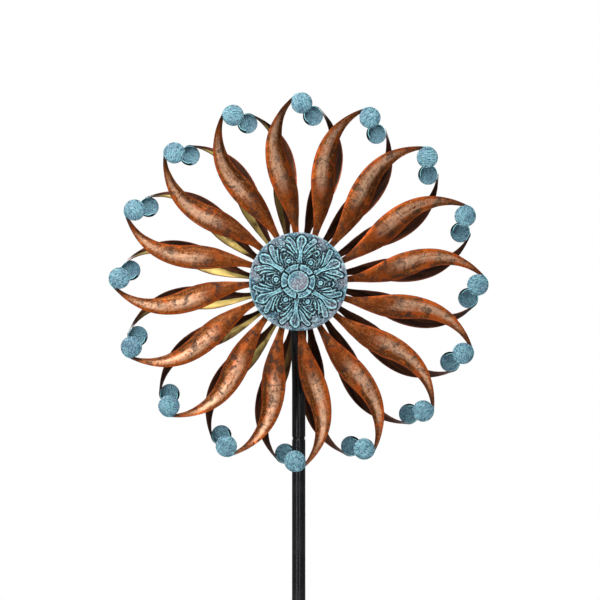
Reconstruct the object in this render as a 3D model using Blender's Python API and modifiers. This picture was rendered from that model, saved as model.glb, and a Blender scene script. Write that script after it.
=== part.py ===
"""Kinetic wind sculpture: two bladed wheels that turn freely, one each side of a garden pole.

Metres, +Z up. The origin is on the pole's axis at ground level. The axle lies along Y, and the front
wheel is on the -Y side. Each wheel is drawn once, with "out" as the distance along the axle from the
pole's axis, and the rear wheel is the same wheel turned half a turn about Z.
"""
import math

import bmesh
import bpy
from mathutils import Matrix, Vector

CLEARANCE = 0.0003  # gap left between pieces that touch
ROUND_STEPS = 24  # facets of a plain turned piece
FINE_STEPS = 32  # facets of the large turned pieces
SMALL_STEPS = 14  # facets of the tip discs and of the set screw

# Stand
AXLE_HEIGHT = 1.400
POLE_RADIUS = 0.011
POLE_WALL = 0.0012
UPPER_SEAM_DROP = 0.254  # from the axle down to the seam under the upper pole
LOWER_SEAM_HEIGHT = 0.573
SPIGOT_LENGTH = 0.060
SHOULDER_LENGTH = 0.004  # where a pole necks down to its spigot
POLE_TOP_SPREAD = 0.00225  # the pole is squeezed oval under the axle, this much wider on each side
POLE_TOP_STRAIGHT = 0.050  # below the axle, where the oval starts to round off
POLE_TOP_FADE = 0.175  # below the axle, where the pole is round again
POLE_TOP_DROP = 0.006  # from the axle down to the pole's upper edge

# Ground stake
STEP_BAR_LENGTH = 0.180
STEP_BAR_WIDTH = 0.025
STEP_BAR_THICKNESS = 0.005
PRONG_LENGTH = 0.170
PRONG_POINT = 0.040
SPIKE_RADIUS = 0.005
SPIKE_DEPTH = 0.200
SPIKE_POINT = 0.030
SPIKE_PLUG_LENGTH = 0.075

# Axle and its housing
HOUSING_RADIUS = 0.013
HOUSING_LENGTH = 0.040
AXLE_RADIUS = 0.005
AXLE_LENGTH = 0.124
AXLE_CHAMFER = 0.001
SET_SCREW_RADIUS = 0.0025
SET_SCREW_LENGTH = 0.008
WASHER_RADIUS = 0.0085
WASHER_THICKNESS = 0.0015
NUT_ACROSS_FLATS = 0.017
NUT_HEIGHT = 0.008

# Bearings: two in each hub
BEARING_RADIUS = 0.013
BEARING_WIDTH = 0.008
BEARING_RING = 0.0022  # wall of the inner ring and of the outer ring
BEARING_SPREAD = 0.0139  # space between the two bearings of a hub

# Hub, plate and medallion
HUB_WALL = 0.0027  # round the bearings
HUB_RECESS = 0.0004  # the inner bearing stands this far out of the hub
HUB_LAND = 0.0018  # step in the bore that keeps the bearings apart
PLATE_RADIUS = 0.046
PLATE_THICKNESS = 0.002
PLATE_SETBACK = 0.010  # from the hub's outer end back to the plate's front
MEDALLION_RADIUS = 0.079
MEDALLION_SHEET = 0.002
MEDALLION_DISH = 0.0035  # how far the medallion's rim falls behind its middle
MEDALLION_BEND_RADIUS = 0.049  # where the face starts to fall away more steeply
MEDALLION_BEND_DROP = 0.001  # how far the face has fallen there
MEDALLION_FLANGE = 0.006
MEDALLION_FACE_GAP = 0.001  # between the axle's end and the inside of the medallion
COLLAR_WALL = 0.002
COLLAR_LENGTH = 0.017
BOSS_RADIUS = 0.0172
BOSS_RISE = 0.003

# Blades
BLADE_COUNT = 16
FRONT_PHASE = math.radians(1.1)  # rest angle of the front wheel's first blade, clockwise from +X
REAR_PHASE = math.radians(17.8)  # the same for the rear wheel, in its own turned frame
BLADE_SHEET = 0.001
BLADE_ROOT_RADIUS = 0.033
TIP_CIRCLE_RADIUS = 0.2878  # centres of the tip discs
TIP_OUT = 0.0556  # how far out along the axle a blade's tip curls up
BLADE_BOW = 0.0427  # furthest that a blade bows away from its radius
BLADE_WIDTH = 0.0406  # widest chord
BLADE_CAMBER = 0.143  # rise of the cupped section over its chord
TIP_DISC_RADIUS = 0.0172
TIP_DISC_OUT = 0.059  # back of the disc's rim
TIP_DISC_RISE = 0.0025
CURL_START = math.radians(55)  # round the tip disc, from its outermost point
CURL_END = math.radians(-150)
CURL_STEPS = 8
CURL_TIGHTENING = 0.003  # the curl ends this much further inside the disc's edge
CURL_FIRST_WIDTH = 0.0075
CURL_LAST_WIDTH = 0.0045
CURL_LEAN = 24  # degrees by which the strip still leans outwards where its curl starts

# Along a blade from its root to its tip disc: share of the reach, of the bow and of the width, and pitch
BLADE_STATIONS = (
    (0.000, 0.01, 0.23, 0),
    (0.153, 0.11, 0.22, 2),
    (0.236, 0.18, 0.31, 6),
    (0.334, 0.30, 0.59, 12),
    (0.440, 0.48, 0.90, 15),
    (0.541, 0.70, 1.00, 15),
    (0.644, 0.91, 0.87, 16),
    (0.742, 1.00, 0.70, 20),
    (0.836, 0.95, 0.53, 28),
    (0.899, 0.84, 0.40, 36),
    (0.958, 0.67, 0.28, 44),
)
BLADE_STRIPS = 4  # facets across a blade

# Places that follow from the sizes above
AXLE_CENTRE = Vector((0, 0, AXLE_HEIGHT))
UPPER_SEAM_HEIGHT = AXLE_HEIGHT - UPPER_SEAM_DROP
AXLE_END = AXLE_LENGTH / 2
WASHER_OUT = HOUSING_LENGTH / 2 + CLEARANCE
BEARING_1_OUT = WASHER_OUT + WASHER_THICKNESS + CLEARANCE
BEARING_2_OUT = BEARING_1_OUT + BEARING_WIDTH + BEARING_SPREAD
NUT_OUT = BEARING_2_OUT + BEARING_WIDTH + CLEARANCE
HUB_RADIUS = BEARING_RADIUS + CLEARANCE + HUB_WALL
HUB_OUT = BEARING_1_OUT + HUB_RECESS
HUB_END = BEARING_2_OUT + BEARING_WIDTH
PLATE_FRONT = HUB_END - PLATE_SETBACK
ROOT_OUT = PLATE_FRONT + CLEARANCE + BLADE_SHEET / 2
MEDALLION_BACK = AXLE_END + MEDALLION_FACE_GAP
SLIDE_RADIUS = AXLE_RADIUS + CLEARANCE  # bore of whatever goes on the axle


def material(name, colour, roughness, metallic):
    result = bpy.data.materials.new(name)
    result.use_nodes = True
    shader = result.node_tree.nodes["Principled BSDF"]
    shader.inputs["Base Color"].default_value = (*colour, 1)
    shader.inputs["Roughness"].default_value = roughness
    shader.inputs["Metallic"].default_value = metallic
    return result


def place(name, mesh, finish, parent=None, location=(0, 0, 0), rotation=(0, 0, 0)):
    """Add one named piece to the assembly."""
    piece = bpy.data.objects.new(name, mesh)
    parts.objects.link(piece)
    piece.parent = parent
    piece.location = location
    piece.rotation_euler = rotation
    if not mesh.materials:
        mesh.materials.append(finish)
    return piece


def place_on_axle(name, mesh, finish, wheel, turn=0.0):
    """Add a piece drawn along its own Z, which becomes the direction out along the axle."""
    return place(name, mesh, finish, wheel, rotation=(math.radians(90), turn, 0))


def frozen(form):
    """The finished mesh of an object with modifiers; the object itself goes."""
    mesh = bpy.data.meshes.new_from_object(form.evaluated_get(bpy.context.evaluated_depsgraph_get()))
    bpy.data.objects.remove(form)
    return mesh


def round_shading(mesh):
    mesh.shade_smooth()
    mesh.set_sharp_from_angle(angle=math.radians(35))
    return mesh


def turned(profile, steps=ROUND_STEPS, closed=True):
    """Mesh of a profile of (radius, height) points turned about Z, its outer side running down."""
    count = len(profile)
    edges = [(i, (i + 1) % count) for i in range(count if closed else count - 1)]
    outline = bpy.data.meshes.new("profile")
    outline.from_pydata([(radius, 0, height) for radius, height in profile], edges, [])
    form = bpy.data.objects.new("profile", outline)
    cutters.objects.link(form)
    screw = form.modifiers.new("Turn", "SCREW")
    screw.angle = math.tau
    screw.steps = steps
    screw.render_steps = steps
    screw.use_merge_vertices = True
    screw.merge_threshold = 1e-6
    return round_shading(frozen(form))


def ring(inner, outer, low, high, steps=ROUND_STEPS):
    return turned([(inner, high), (outer, high), (outer, low), (inner, low)], steps)


def cutter(name, mesh, location=(0, 0, 0), rotation=(0, 0, 0)):
    tool = bpy.data.objects.new(name, mesh)
    cutters.objects.link(tool)
    tool.location = location
    tool.rotation_euler = rotation
    tool.hide_render = True
    tool.display_type = "WIRE"
    return tool


def rod_mesh(radius, length, steps=ROUND_STEPS, top_radius=None):
    """Solid cylinder about Z, centred on the origin."""
    build = bmesh.new()
    bmesh.ops.create_cone(
        build,
        cap_ends=True,
        segments=steps,
        radius1=radius,
        radius2=radius if top_radius is None else top_radius,
        depth=length,
    )
    mesh = bpy.data.meshes.new("rod")
    build.to_mesh(mesh)
    build.free()
    return round_shading(mesh)


def box_mesh(size):
    build = bmesh.new()
    bmesh.ops.create_cube(build, size=1, matrix=Matrix.Diagonal((*size, 1)))
    mesh = bpy.data.meshes.new("box")
    build.to_mesh(mesh)
    build.free()
    return mesh


def combine(piece, tool, operation):
    step = piece.modifiers.new(tool.name, "BOOLEAN")
    step.operation = operation
    step.object = tool
    step.solver = "EXACT"


def smooth_step(value):
    value = min(1.0, max(0.0, value))
    return value * value * (3 - 2 * value)


def pole_with_spigot(name, low, seam, finish):
    """A pole section whose top necks down to a spigot that plugs into the section above."""
    inner = POLE_RADIUS - POLE_WALL
    spigot = inner - CLEARANCE
    profile = [
        (spigot - POLE_WALL, seam + SPIGOT_LENGTH),
        (spigot, seam + SPIGOT_LENGTH),
        (spigot, seam),
        (POLE_RADIUS, seam - SHOULDER_LENGTH),
        (POLE_RADIUS, low),
        (inner, low),
        (inner, seam - SHOULDER_LENGTH - POLE_WALL),
        (spigot - POLE_WALL, seam - POLE_WALL),
    ]
    return place(name, turned(profile), finish)


def upper_pole(finish):
    """Top section: round at its foot, squeezed oval under the axle, notched round the housing."""
    foot = UPPER_SEAM_HEIGHT + CLEARANCE
    top = AXLE_HEIGHT - POLE_TOP_DROP
    fade_low = AXLE_HEIGHT - POLE_TOP_FADE
    fade_high = AXLE_HEIGHT - POLE_TOP_STRAIGHT
    heights = [foot]
    heights += [fade_low + (fade_high - fade_low) * step / 4 for step in range(5)]
    heights.append(top)
    build = bmesh.new()
    rings = []
    for height in heights:
        squeeze = smooth_step((height - fade_low) / (fade_high - fade_low))
        middle = POLE_RADIUS - POLE_WALL / 2
        half_width = middle + POLE_TOP_SPREAD * squeeze
        half_depth = math.sqrt(2 * middle**2 - half_width**2)  # the squeezed tube keeps its girth
        turn = math.tau / ROUND_STEPS
        rings.append([
            build.verts.new((half_width * math.cos(i * turn), half_depth * math.sin(i * turn), height))
            for i in range(ROUND_STEPS)
        ])
    for low, high in zip(rings, rings[1:]):
        for i in range(ROUND_STEPS):
            after = (i + 1) % ROUND_STEPS
            build.faces.new((low[i], low[after], high[after], high[i]))
    mesh = bpy.data.meshes.new("upper_pole")
    build.to_mesh(mesh)
    build.free()
    pole = place("upper_pole", mesh, finish)
    wall = pole.modifiers.new("Wall", "SOLIDIFY")
    wall.thickness = POLE_WALL
    wall.offset = 0
    wall.use_even_offset = True
    notch = cutter(
        "housing_notch",
        rod_mesh(HOUSING_RADIUS + CLEARANCE, HOUSING_LENGTH),
        AXLE_CENTRE,
        (math.radians(90), 0, 0),
    )
    combine(pole, notch, "DIFFERENCE")
    round_shading(mesh)
    return pole


def stake(finish):
    """Step bar with its ends bent down into two prongs, and the spike that joins it to the pole."""
    bar = place(
        "stake_fork",
        box_mesh((STEP_BAR_LENGTH, STEP_BAR_WIDTH, STEP_BAR_THICKNESS)),
        finish,
        location=(0, 0, STEP_BAR_THICKNESS / 2),
    )
    half = STEP_BAR_WIDTH / 2
    overlap = STEP_BAR_THICKNESS / 2  # how far a prong reaches up into the bar
    outline = [
        (-half, overlap),
        (-half, PRONG_POINT - PRONG_LENGTH),
        (0, -PRONG_LENGTH),
        (half, PRONG_POINT - PRONG_LENGTH),
        (half, overlap),
    ]
    for side in (-1, 1):
        curve = bpy.data.curves.new("prong", "CURVE")
        curve.dimensions = "2D"
        curve.fill_mode = "BOTH"
        curve.extrude = STEP_BAR_THICKNESS / 2
        line = curve.splines.new("POLY")
        line.points.add(len(outline) - 1)
        line.use_cyclic_u = True
        for point, (across, height) in zip(line.points, outline):
            point.co = (across, height, 0, 1)
        flat = bpy.data.objects.new("prong_outline", curve)
        cutters.objects.link(flat)
        mesh = frozen(flat)
        build = bmesh.new()
        build.from_mesh(mesh)
        bmesh.ops.remove_doubles(build, verts=build.verts, dist=1e-6)
        bmesh.ops.recalc_face_normals(build, faces=build.faces)
        build.to_mesh(mesh)
        build.free()
        prong = cutter(
            f"prong_{side}",
            mesh,
            (side * (STEP_BAR_LENGTH - STEP_BAR_THICKNESS) / 2, 0, 0),
            (math.radians(90), 0, math.radians(90)),
        )
        combine(bar, prong, "UNION")
    hole = rod_mesh(SPIKE_RADIUS + CLEARANCE, 3 * STEP_BAR_THICKNESS)
    combine(bar, cutter("spike_hole", hole, (0, 0, STEP_BAR_THICKNESS / 2)), "DIFFERENCE")

    plug = POLE_RADIUS - POLE_WALL - CLEARANCE
    seat = STEP_BAR_THICKNESS + CLEARANCE
    profile = [
        (0, seat + SPIKE_PLUG_LENGTH),
        (plug, seat + SPIKE_PLUG_LENGTH),
        (plug, seat),
        (SPIKE_RADIUS, seat),
        (SPIKE_RADIUS, SPIKE_POINT - SPIKE_DEPTH),
        (0, -SPIKE_DEPTH),
    ]
    place("stake_spike", turned(profile, closed=False), finish)


def stand():
    black = material("black_powder_coat", (0.012, 0.012, 0.014), 0.35, 0.0)
    steel = material("stake_steel", (0.03, 0.03, 0.033), 0.45, 0.6)
    stake(steel)
    pole_with_spigot("lower_pole", STEP_BAR_THICKNESS + CLEARANCE, LOWER_SEAM_HEIGHT, black)
    pole_with_spigot("middle_pole", LOWER_SEAM_HEIGHT + CLEARANCE, UPPER_SEAM_HEIGHT, black)
    upper_pole(black)

    wall = ring(SLIDE_RADIUS, HOUSING_RADIUS, -HOUSING_LENGTH / 2, HOUSING_LENGTH / 2, FINE_STEPS)
    housing = place("axle_housing", wall, black, None, AXLE_CENTRE, (math.radians(90), 0, 0))
    hole = rod_mesh(SET_SCREW_RADIUS + CLEARANCE, HOUSING_RADIUS, SMALL_STEPS)
    above = AXLE_CENTRE + Vector((0, 0, AXLE_RADIUS + HOUSING_RADIUS / 2))
    combine(housing, cutter("set_screw_hole", hole, above), "DIFFERENCE")


def axle_and_fixings():
    zinc = material("zinc_steel", (0.55, 0.56, 0.58), 0.3, 1.0)
    rod = AXLE_RADIUS - AXLE_CHAMFER
    profile = [
        (0, AXLE_END),
        (rod, AXLE_END),
        (AXLE_RADIUS, AXLE_END - AXLE_CHAMFER),
        (AXLE_RADIUS, AXLE_CHAMFER - AXLE_END),
        (rod, -AXLE_END),
        (0, -AXLE_END),
    ]
    flat = (math.radians(90), 0, 0)
    place("axle", turned(profile, closed=False), zinc, None, AXLE_CENTRE, flat)
    foot = AXLE_RADIUS + CLEARANCE + SET_SCREW_LENGTH / 2
    screw = rod_mesh(SET_SCREW_RADIUS, SET_SCREW_LENGTH, SMALL_STEPS)
    place("axle_set_screw", screw, zinc, None, AXLE_CENTRE + Vector((0, 0, foot)))


def hex_nut_mesh():
    corner = NUT_ACROSS_FLATS / 2 / math.cos(math.radians(30))
    nut = bpy.data.objects.new("nut", rod_mesh(corner, NUT_HEIGHT, 6))
    cutters.objects.link(nut)
    combine(nut, cutter("nut_bore", rod_mesh(SLIDE_RADIUS, 2 * NUT_HEIGHT)), "DIFFERENCE")
    mesh = frozen(nut)
    mesh.transform(Matrix.Translation((0, 0, NUT_OUT + NUT_HEIGHT / 2)))
    return mesh


def fixed_fittings(side, wheel):
    """What stays still inside one wheel: washer, inner bearing rings, their spacer and the nut."""
    zinc = material("zinc_fittings", (0.6, 0.61, 0.63), 0.28, 1.0)
    chrome = material("bearing_steel", (0.7, 0.7, 0.7), 0.15, 1.0)
    inner_ring = SLIDE_RADIUS + BEARING_RING
    washer = ring(SLIDE_RADIUS, WASHER_RADIUS, WASHER_OUT, WASHER_OUT + WASHER_THICKNESS)
    place_on_axle(f"{side}_washer", washer, zinc, wheel)
    for number, start in ((1, BEARING_1_OUT), (2, BEARING_2_OUT)):
        race = ring(SLIDE_RADIUS, inner_ring, start, start + BEARING_WIDTH)
        place_on_axle(f"{side}_bearing_{number}_inner_ring", race, chrome, wheel)
    low = BEARING_1_OUT + BEARING_WIDTH + CLEARANCE
    spacer = ring(SLIDE_RADIUS, inner_ring, low, BEARING_2_OUT - CLEARANCE)
    place_on_axle(f"{side}_bearing_spacer", spacer, zinc, wheel)
    place_on_axle(f"{side}_axle_nut", hex_nut_mesh(), zinc, wheel)


def hub_and_bearings(side, wheel):
    chrome = material("bearing_steel", (0.7, 0.7, 0.7), 0.15, 1.0)
    black = material("hub_black", (0.02, 0.02, 0.022), 0.4, 0.3)
    seat = BEARING_RADIUS + CLEARANCE
    land = seat - HUB_LAND
    low_step = BEARING_1_OUT + BEARING_WIDTH + CLEARANCE
    high_step = BEARING_2_OUT - CLEARANCE
    profile = [
        (seat, HUB_END),
        (HUB_RADIUS, HUB_END),
        (HUB_RADIUS, HUB_OUT),
        (seat, HUB_OUT),
        (seat, low_step),
        (land, low_step),
        (land, high_step),
        (seat, high_step),
    ]
    place_on_axle(f"{side}_hub", turned(profile), black, wheel)
    for number, start in ((1, BEARING_1_OUT), (2, BEARING_2_OUT)):
        race = ring(BEARING_RADIUS - BEARING_RING, BEARING_RADIUS, start, start + BEARING_WIDTH)
        place_on_axle(f"{side}_bearing_{number}_outer_ring", race, chrome, wheel)
    plate = ring(
        HUB_RADIUS + CLEARANCE, PLATE_RADIUS, PLATE_FRONT - PLATE_THICKNESS, PLATE_FRONT, FINE_STEPS
    )
    place_on_axle(f"{side}_hub_plate", plate, black, wheel)


def medallion(side, wheel):
    """Pressed cover over the hub: boss, dished face, turned-back rim, and a collar on the barrel."""
    teal = material("teal_patina", (0.13, 0.22, 0.25), 0.45, 0.7)
    front = MEDALLION_BACK + MEDALLION_SHEET
    collar = HUB_RADIUS + CLEARANCE
    collar_outer = collar + COLLAR_WALL
    rim_front = front - MEDALLION_DISH
    rim_back = rim_front - MEDALLION_FLANGE
    rim_inner = MEDALLION_RADIUS - MEDALLION_SHEET
    profile = [
        (0, front + BOSS_RISE),
        (BOSS_RADIUS * 0.6, front + BOSS_RISE * 0.8),
        (BOSS_RADIUS, front),
        (MEDALLION_BEND_RADIUS, front - MEDALLION_BEND_DROP),
        (rim_inner, rim_front),
        (MEDALLION_RADIUS, rim_front - MEDALLION_SHEET / 2),
        (MEDALLION_RADIUS, rim_back),
        (rim_inner, rim_back),
        (rim_inner, rim_front - MEDALLION_SHEET),
        (MEDALLION_BEND_RADIUS, MEDALLION_BACK - MEDALLION_BEND_DROP),
        (collar_outer, MEDALLION_BACK),
        (collar_outer, front - COLLAR_LENGTH),
        (collar, front - COLLAR_LENGTH),
        (collar, MEDALLION_BACK),
        (0, MEDALLION_BACK),
    ]
    place_on_axle(f"{side}_medallion", turned(profile, FINE_STEPS, closed=False), teal, wheel)


def blade_sections():
    """Sections of a blade that points along +X: centre, the way across it, pitch and chord."""
    reach = TIP_CIRCLE_RADIUS - BLADE_ROOT_RADIUS
    path = []
    for along, bow, width, pitch in BLADE_STATIONS:
        radius = BLADE_ROOT_RADIUS + reach * along
        rise = smooth_step((radius - PLATE_RADIUS) / (TIP_CIRCLE_RADIUS - PLATE_RADIUS))
        out = ROOT_OUT + (TIP_OUT - ROOT_OUT) * rise
        path.append((Vector((radius, BLADE_BOW * bow, out)), pitch, BLADE_WIDTH * width))
    for step in range(CURL_STEPS):
        share = step / (CURL_STEPS - 1)
        turn = CURL_START + (CURL_END - CURL_START) * share
        chord = CURL_FIRST_WIDTH + (CURL_LAST_WIDTH - CURL_FIRST_WIDTH) * share
        radius = TIP_DISC_RADIUS - BLADE_SHEET - CURL_TIGHTENING * share**2
        pitch = 90 - CURL_LEAN * (1 - smooth_step(2 * share))
        drop = chord / 2 * math.sin(math.radians(pitch))
        out = TIP_DISC_OUT + BLADE_SHEET / 2 - drop  # its outer edge is sunk in the disc
        x = TIP_CIRCLE_RADIUS + radius * math.cos(turn)
        path.append((Vector((x, radius * math.sin(turn), out)), pitch, chord))
    sections = []
    for i, (centre, pitch, chord) in enumerate(path):
        before = path[max(i - 1, 0)][0]
        after = path[min(i + 1, len(path) - 1)][0]
        forward = (after - before).to_2d().normalized()
        sections.append((centre, Vector((forward.y, -forward.x, 0)), math.radians(pitch), chord))
    return sections


def blade_mesh():
    """A cupped blade lofted along its sections, its tip curled up under a domed disc."""
    build = bmesh.new()
    outward = Vector((0, 0, 1))
    rows = []
    for centre, across, pitch, chord in blade_sections():
        camber = BLADE_CAMBER * min(1.0, max(0.0, (chord / BLADE_WIDTH - 0.22) / 0.35))
        chord_way = across * math.cos(pitch) - outward * math.sin(pitch)
        bulge_way = outward * math.cos(pitch) + across * math.sin(pitch)
        row = []
        for i in range(BLADE_STRIPS + 1):
            share = 2 * i / BLADE_STRIPS - 1
            bulge = chord * camber * (0.5 - share * share)
            row.append(build.verts.new(centre + chord_way * (chord / 2 * share) + bulge_way * bulge))
        rows.append(row)
    for near, far in zip(rows, rows[1:]):
        for i in range(BLADE_STRIPS):
            build.faces.new((near[i], near[i + 1], far[i + 1], far[i]))
    mesh = bpy.data.meshes.new("blade")
    build.to_mesh(mesh)
    build.free()
    form = cutter("blade_form", mesh)
    sheet = form.modifiers.new("Sheet", "SOLIDIFY")
    sheet.thickness = BLADE_SHEET
    sheet.offset = 0

    rim = TIP_DISC_OUT + BLADE_SHEET
    profile = [
        (0, rim + TIP_DISC_RISE),
        (TIP_DISC_RADIUS * 0.55, rim + TIP_DISC_RISE * 0.8),
        (TIP_DISC_RADIUS, rim),
        (TIP_DISC_RADIUS, TIP_DISC_OUT),
        (0, TIP_DISC_OUT + TIP_DISC_RISE),
    ]
    disc = turned(profile, SMALL_STEPS, closed=False)
    combine(form, cutter("tip_disc", disc, (TIP_CIRCLE_RADIUS, 0, 0)), "UNION")
    return round_shading(frozen(form))


def wheel(side, half_turn, phase, blade):
    axis = bpy.data.objects.new(f"{side}_rotor_axis", None)
    parts.objects.link(axis)
    axis.location = AXLE_CENTRE
    axis.rotation_euler = (0, 0, half_turn)
    fixed_fittings(side, axis)
    hub_and_bearings(side, axis)
    medallion(side, axis)
    copper = material("copper_patina", (0.45, 0.17, 0.07), 0.4, 0.85)
    for number in range(BLADE_COUNT):
        turn = phase + math.tau * number / BLADE_COUNT
        place_on_axle(f"{side}_blade_{number + 1:02d}", blade, copper, axis, turn)


for leftover in list(bpy.data.objects):
    bpy.data.objects.remove(leftover)
parts = bpy.data.collections.new("kinetic_wind_sculpture")
cutters = bpy.data.collections.new("cutters")
bpy.context.scene.collection.children.link(parts)
bpy.context.scene.collection.children.link(cutters)

stand()
axle_and_fixings()
shared_blade = blade_mesh()
wheel("front", 0.0, FRONT_PHASE, shared_blade)
wheel("rear", math.pi, REAR_PHASE, shared_blade)
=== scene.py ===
"""Kinetic wind sculpture on a garden pole: the finished look of every piece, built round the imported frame.

The axle lies along Y, and the front wheel is on the -Y side. A wheel's pieces are drawn once, pointing
along +X and seen from outside, with "out" as the distance from the pole's axis. The rear wheel is the
same wheel turned half a turn about Z.
"""

import math

import bmesh
import bpy
import numpy as np
from mathutils import Matrix, Vector


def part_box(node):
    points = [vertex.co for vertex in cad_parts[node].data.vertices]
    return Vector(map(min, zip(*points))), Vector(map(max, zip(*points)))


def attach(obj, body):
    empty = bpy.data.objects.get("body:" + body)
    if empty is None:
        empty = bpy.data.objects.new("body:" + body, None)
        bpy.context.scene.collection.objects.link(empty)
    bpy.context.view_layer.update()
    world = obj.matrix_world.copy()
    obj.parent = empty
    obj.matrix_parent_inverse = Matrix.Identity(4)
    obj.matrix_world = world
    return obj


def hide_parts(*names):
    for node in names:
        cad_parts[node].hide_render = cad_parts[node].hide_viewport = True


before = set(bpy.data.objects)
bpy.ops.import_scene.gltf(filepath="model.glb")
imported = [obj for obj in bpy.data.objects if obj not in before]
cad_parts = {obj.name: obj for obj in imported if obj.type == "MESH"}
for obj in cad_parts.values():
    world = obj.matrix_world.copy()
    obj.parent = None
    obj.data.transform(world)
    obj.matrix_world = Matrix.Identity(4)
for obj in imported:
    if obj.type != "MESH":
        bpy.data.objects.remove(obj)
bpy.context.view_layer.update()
MM = 0.001


# ---------------------------------------------------------------- studio
# A pale floor under the stake's points, soft boxes in front, above and behind, and a plain white
# surround. The camera stands a little below the wheels' axle and looks slightly up at them.

FLOOR_RADIUS = 2.4
CAMERA_PLACE = Vector((0.021, -2.118, -0.080))  # from the middle of the axle
CAMERA_UP = math.radians(1.4)
CAMERA_LEFT = math.radians(0.51)
CAMERA_LENS = 77.0

axle_low, axle_high = (Vector(corner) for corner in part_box("axle"))
WHEEL_CENTRE = (axle_low + axle_high) / 2
FLOOR_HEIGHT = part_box("stake_spike")[0][2]


class Wire:
    """A value on its way through a node tree. Arithmetic on it adds Math nodes."""

    def __init__(self, graph, socket):
        self.graph = graph
        self.socket = socket

    def maths(self, operation, *values):
        sockets = dict(enumerate((self, *values)))
        return self.graph.node("ShaderNodeMath", {"operation": operation}, sockets)

    def __add__(self, other):
        return self.maths("ADD", other)

    def __mul__(self, other):
        return self.maths("MULTIPLY", other)

    def __sub__(self, other):
        return self.maths("SUBTRACT", other)

    def __rsub__(self, other):
        return (self * -1) + other

    def __truediv__(self, other):
        return self.maths("DIVIDE", other)

    def __rtruediv__(self, other):
        return self.maths("POWER", -1) * other

    def __abs__(self):
        return self.maths("ABSOLUTE")

    __radd__ = __add__
    __rmul__ = __mul__

    def between(self, low, high):
        """Smooth share from 0 at low to 1 at high, or the other way round where low is the greater."""
        if low > high:
            return 1 - self.between(high, low)
        span = {"interpolation_type": "SMOOTHSTEP"}
        sockets = {"Value": self, "From Min": low, "From Max": high}
        return self.graph.node("ShaderNodeMapRange", span, sockets)

    def length(self):
        return self.graph.node("ShaderNodeVectorMath", {"operation": "LENGTH"}, {"Vector": self}, "Value")

    def split(self):
        """The three parts of a vector."""
        parts = self.graph.node("ShaderNodeSeparateXYZ", sockets={"Vector": self})
        return [Wire(self.graph, socket) for socket in parts.socket.node.outputs]


class Graph:
    """A node tree and the one method that adds nodes to it."""

    def __init__(self, tree):
        self.tree = tree

    def node(self, kind, settings=None, sockets=None, out=0):
        """Add a node, set it up, then fill its sockets with values or links."""
        made = self.tree.nodes.new(kind)
        for name, value in (settings or {}).items():
            setattr(made, name, value)
        for name, value in (sockets or {}).items():
            self.feed(made.inputs[name], value)
        return Wire(self, made.outputs[out])

    def feed(self, socket, value):
        if isinstance(value, Wire):
            self.tree.links.new(value.socket, socket)
        else:
            socket.default_value = value


class Finish(Graph):
    """A material: plain values on its Principled shader, with patterns fed over them."""

    def __init__(self, name, colour, roughness, metallic=0.0):
        self.material = bpy.data.materials.new(name)
        self.material.use_nodes = True
        super().__init__(self.material.node_tree)
        self.shader = self.tree.nodes["Principled BSDF"].inputs
        self.shader["Base Color"].default_value = (*colour, 1)
        self.shader["Roughness"].default_value = roughness
        self.shader["Metallic"].default_value = metallic

    def place(self):
        return self.node("ShaderNodeTexCoord", out="Object")

    def attribute(self, name):
        return self.node("ShaderNodeAttribute", {"attribute_name": name}, out="Fac")

    def stretched(self, vector, scale, turn=0.0):
        sockets = {"Vector": vector, "Scale": scale, "Rotation": (0, 0, turn)}
        return self.node("ShaderNodeMapping", sockets=sockets)

    def noise(self, vector, scale, detail=3.0, seed=None, warp=0.0):
        sockets = {"Vector": vector, "Scale": scale, "Detail": detail, "Distortion": warp}
        settings = {}
        if seed is not None:
            settings = {"noise_dimensions": "4D"}
            sockets["W"] = seed
        return self.node("ShaderNodeTexNoise", settings, sockets, "Fac")

    def mix(self, share, first, second):
        """Colour that turns from the first to the second as the share goes from 0 to 1."""
        blend = self.node("ShaderNodeMix", {"data_type": "RGBA"}).socket.node
        shown = {socket.name: socket for socket in blend.inputs if socket.enabled}
        self.feed(shown["Factor"], share)
        for name, value in (("A", first), ("B", second)):
            self.feed(shown[name], value if isinstance(value, Wire) else (*value, 1))
        return Wire(self, next(socket for socket in blend.outputs if socket.enabled))

    def bump(self, height, distance, strength=1.0):
        sockets = {"Height": height, "Distance": distance, "Strength": strength}
        self.feed(self.shader["Normal"], self.node("ShaderNodeBump", sockets=sockets))


def add_piece(name, mesh, *materials):
    """A finished piece at the origin, with its place in its mesh."""
    piece = bpy.data.objects.new(name, mesh)
    bpy.context.scene.collection.objects.link(piece)
    for material in materials:
        mesh.materials.append(material)
    return piece


pale = Finish("studio_floor", (0.93, 0.93, 0.93), 0.9)
pale.feed(pale.shader["Roughness"], pale.noise(pale.place(), 3.0) * 0.1 + 0.8)
bpy.ops.mesh.primitive_circle_add(
    vertices=96, radius=FLOOR_RADIUS, fill_type="NGON", location=(0, 0, FLOOR_HEIGHT)
)
floor = bpy.context.object
floor.name = "studio_floor"
floor.data.materials.append(pale.material)

surround = bpy.data.worlds.new("white_surround")
surround.use_nodes = True
bpy.context.scene.world = surround
sky = Graph(surround.node_tree)
seen_white = sky.node("ShaderNodeBackground", sockets={"Color": (1, 1, 1, 1), "Strength": 1.0})
soft_fill = sky.node("ShaderNodeBackground", sockets={"Color": (0.93, 0.96, 1, 1), "Strength": 0.17})
straight = sky.node("ShaderNodeLightPath", out="Is Camera Ray")
joined = sky.node("ShaderNodeMixShader", sockets={0: straight, 1: soft_fill, 2: seen_white})
sky.feed(surround.node_tree.nodes["World Output"].inputs["Surface"], joined)


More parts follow.
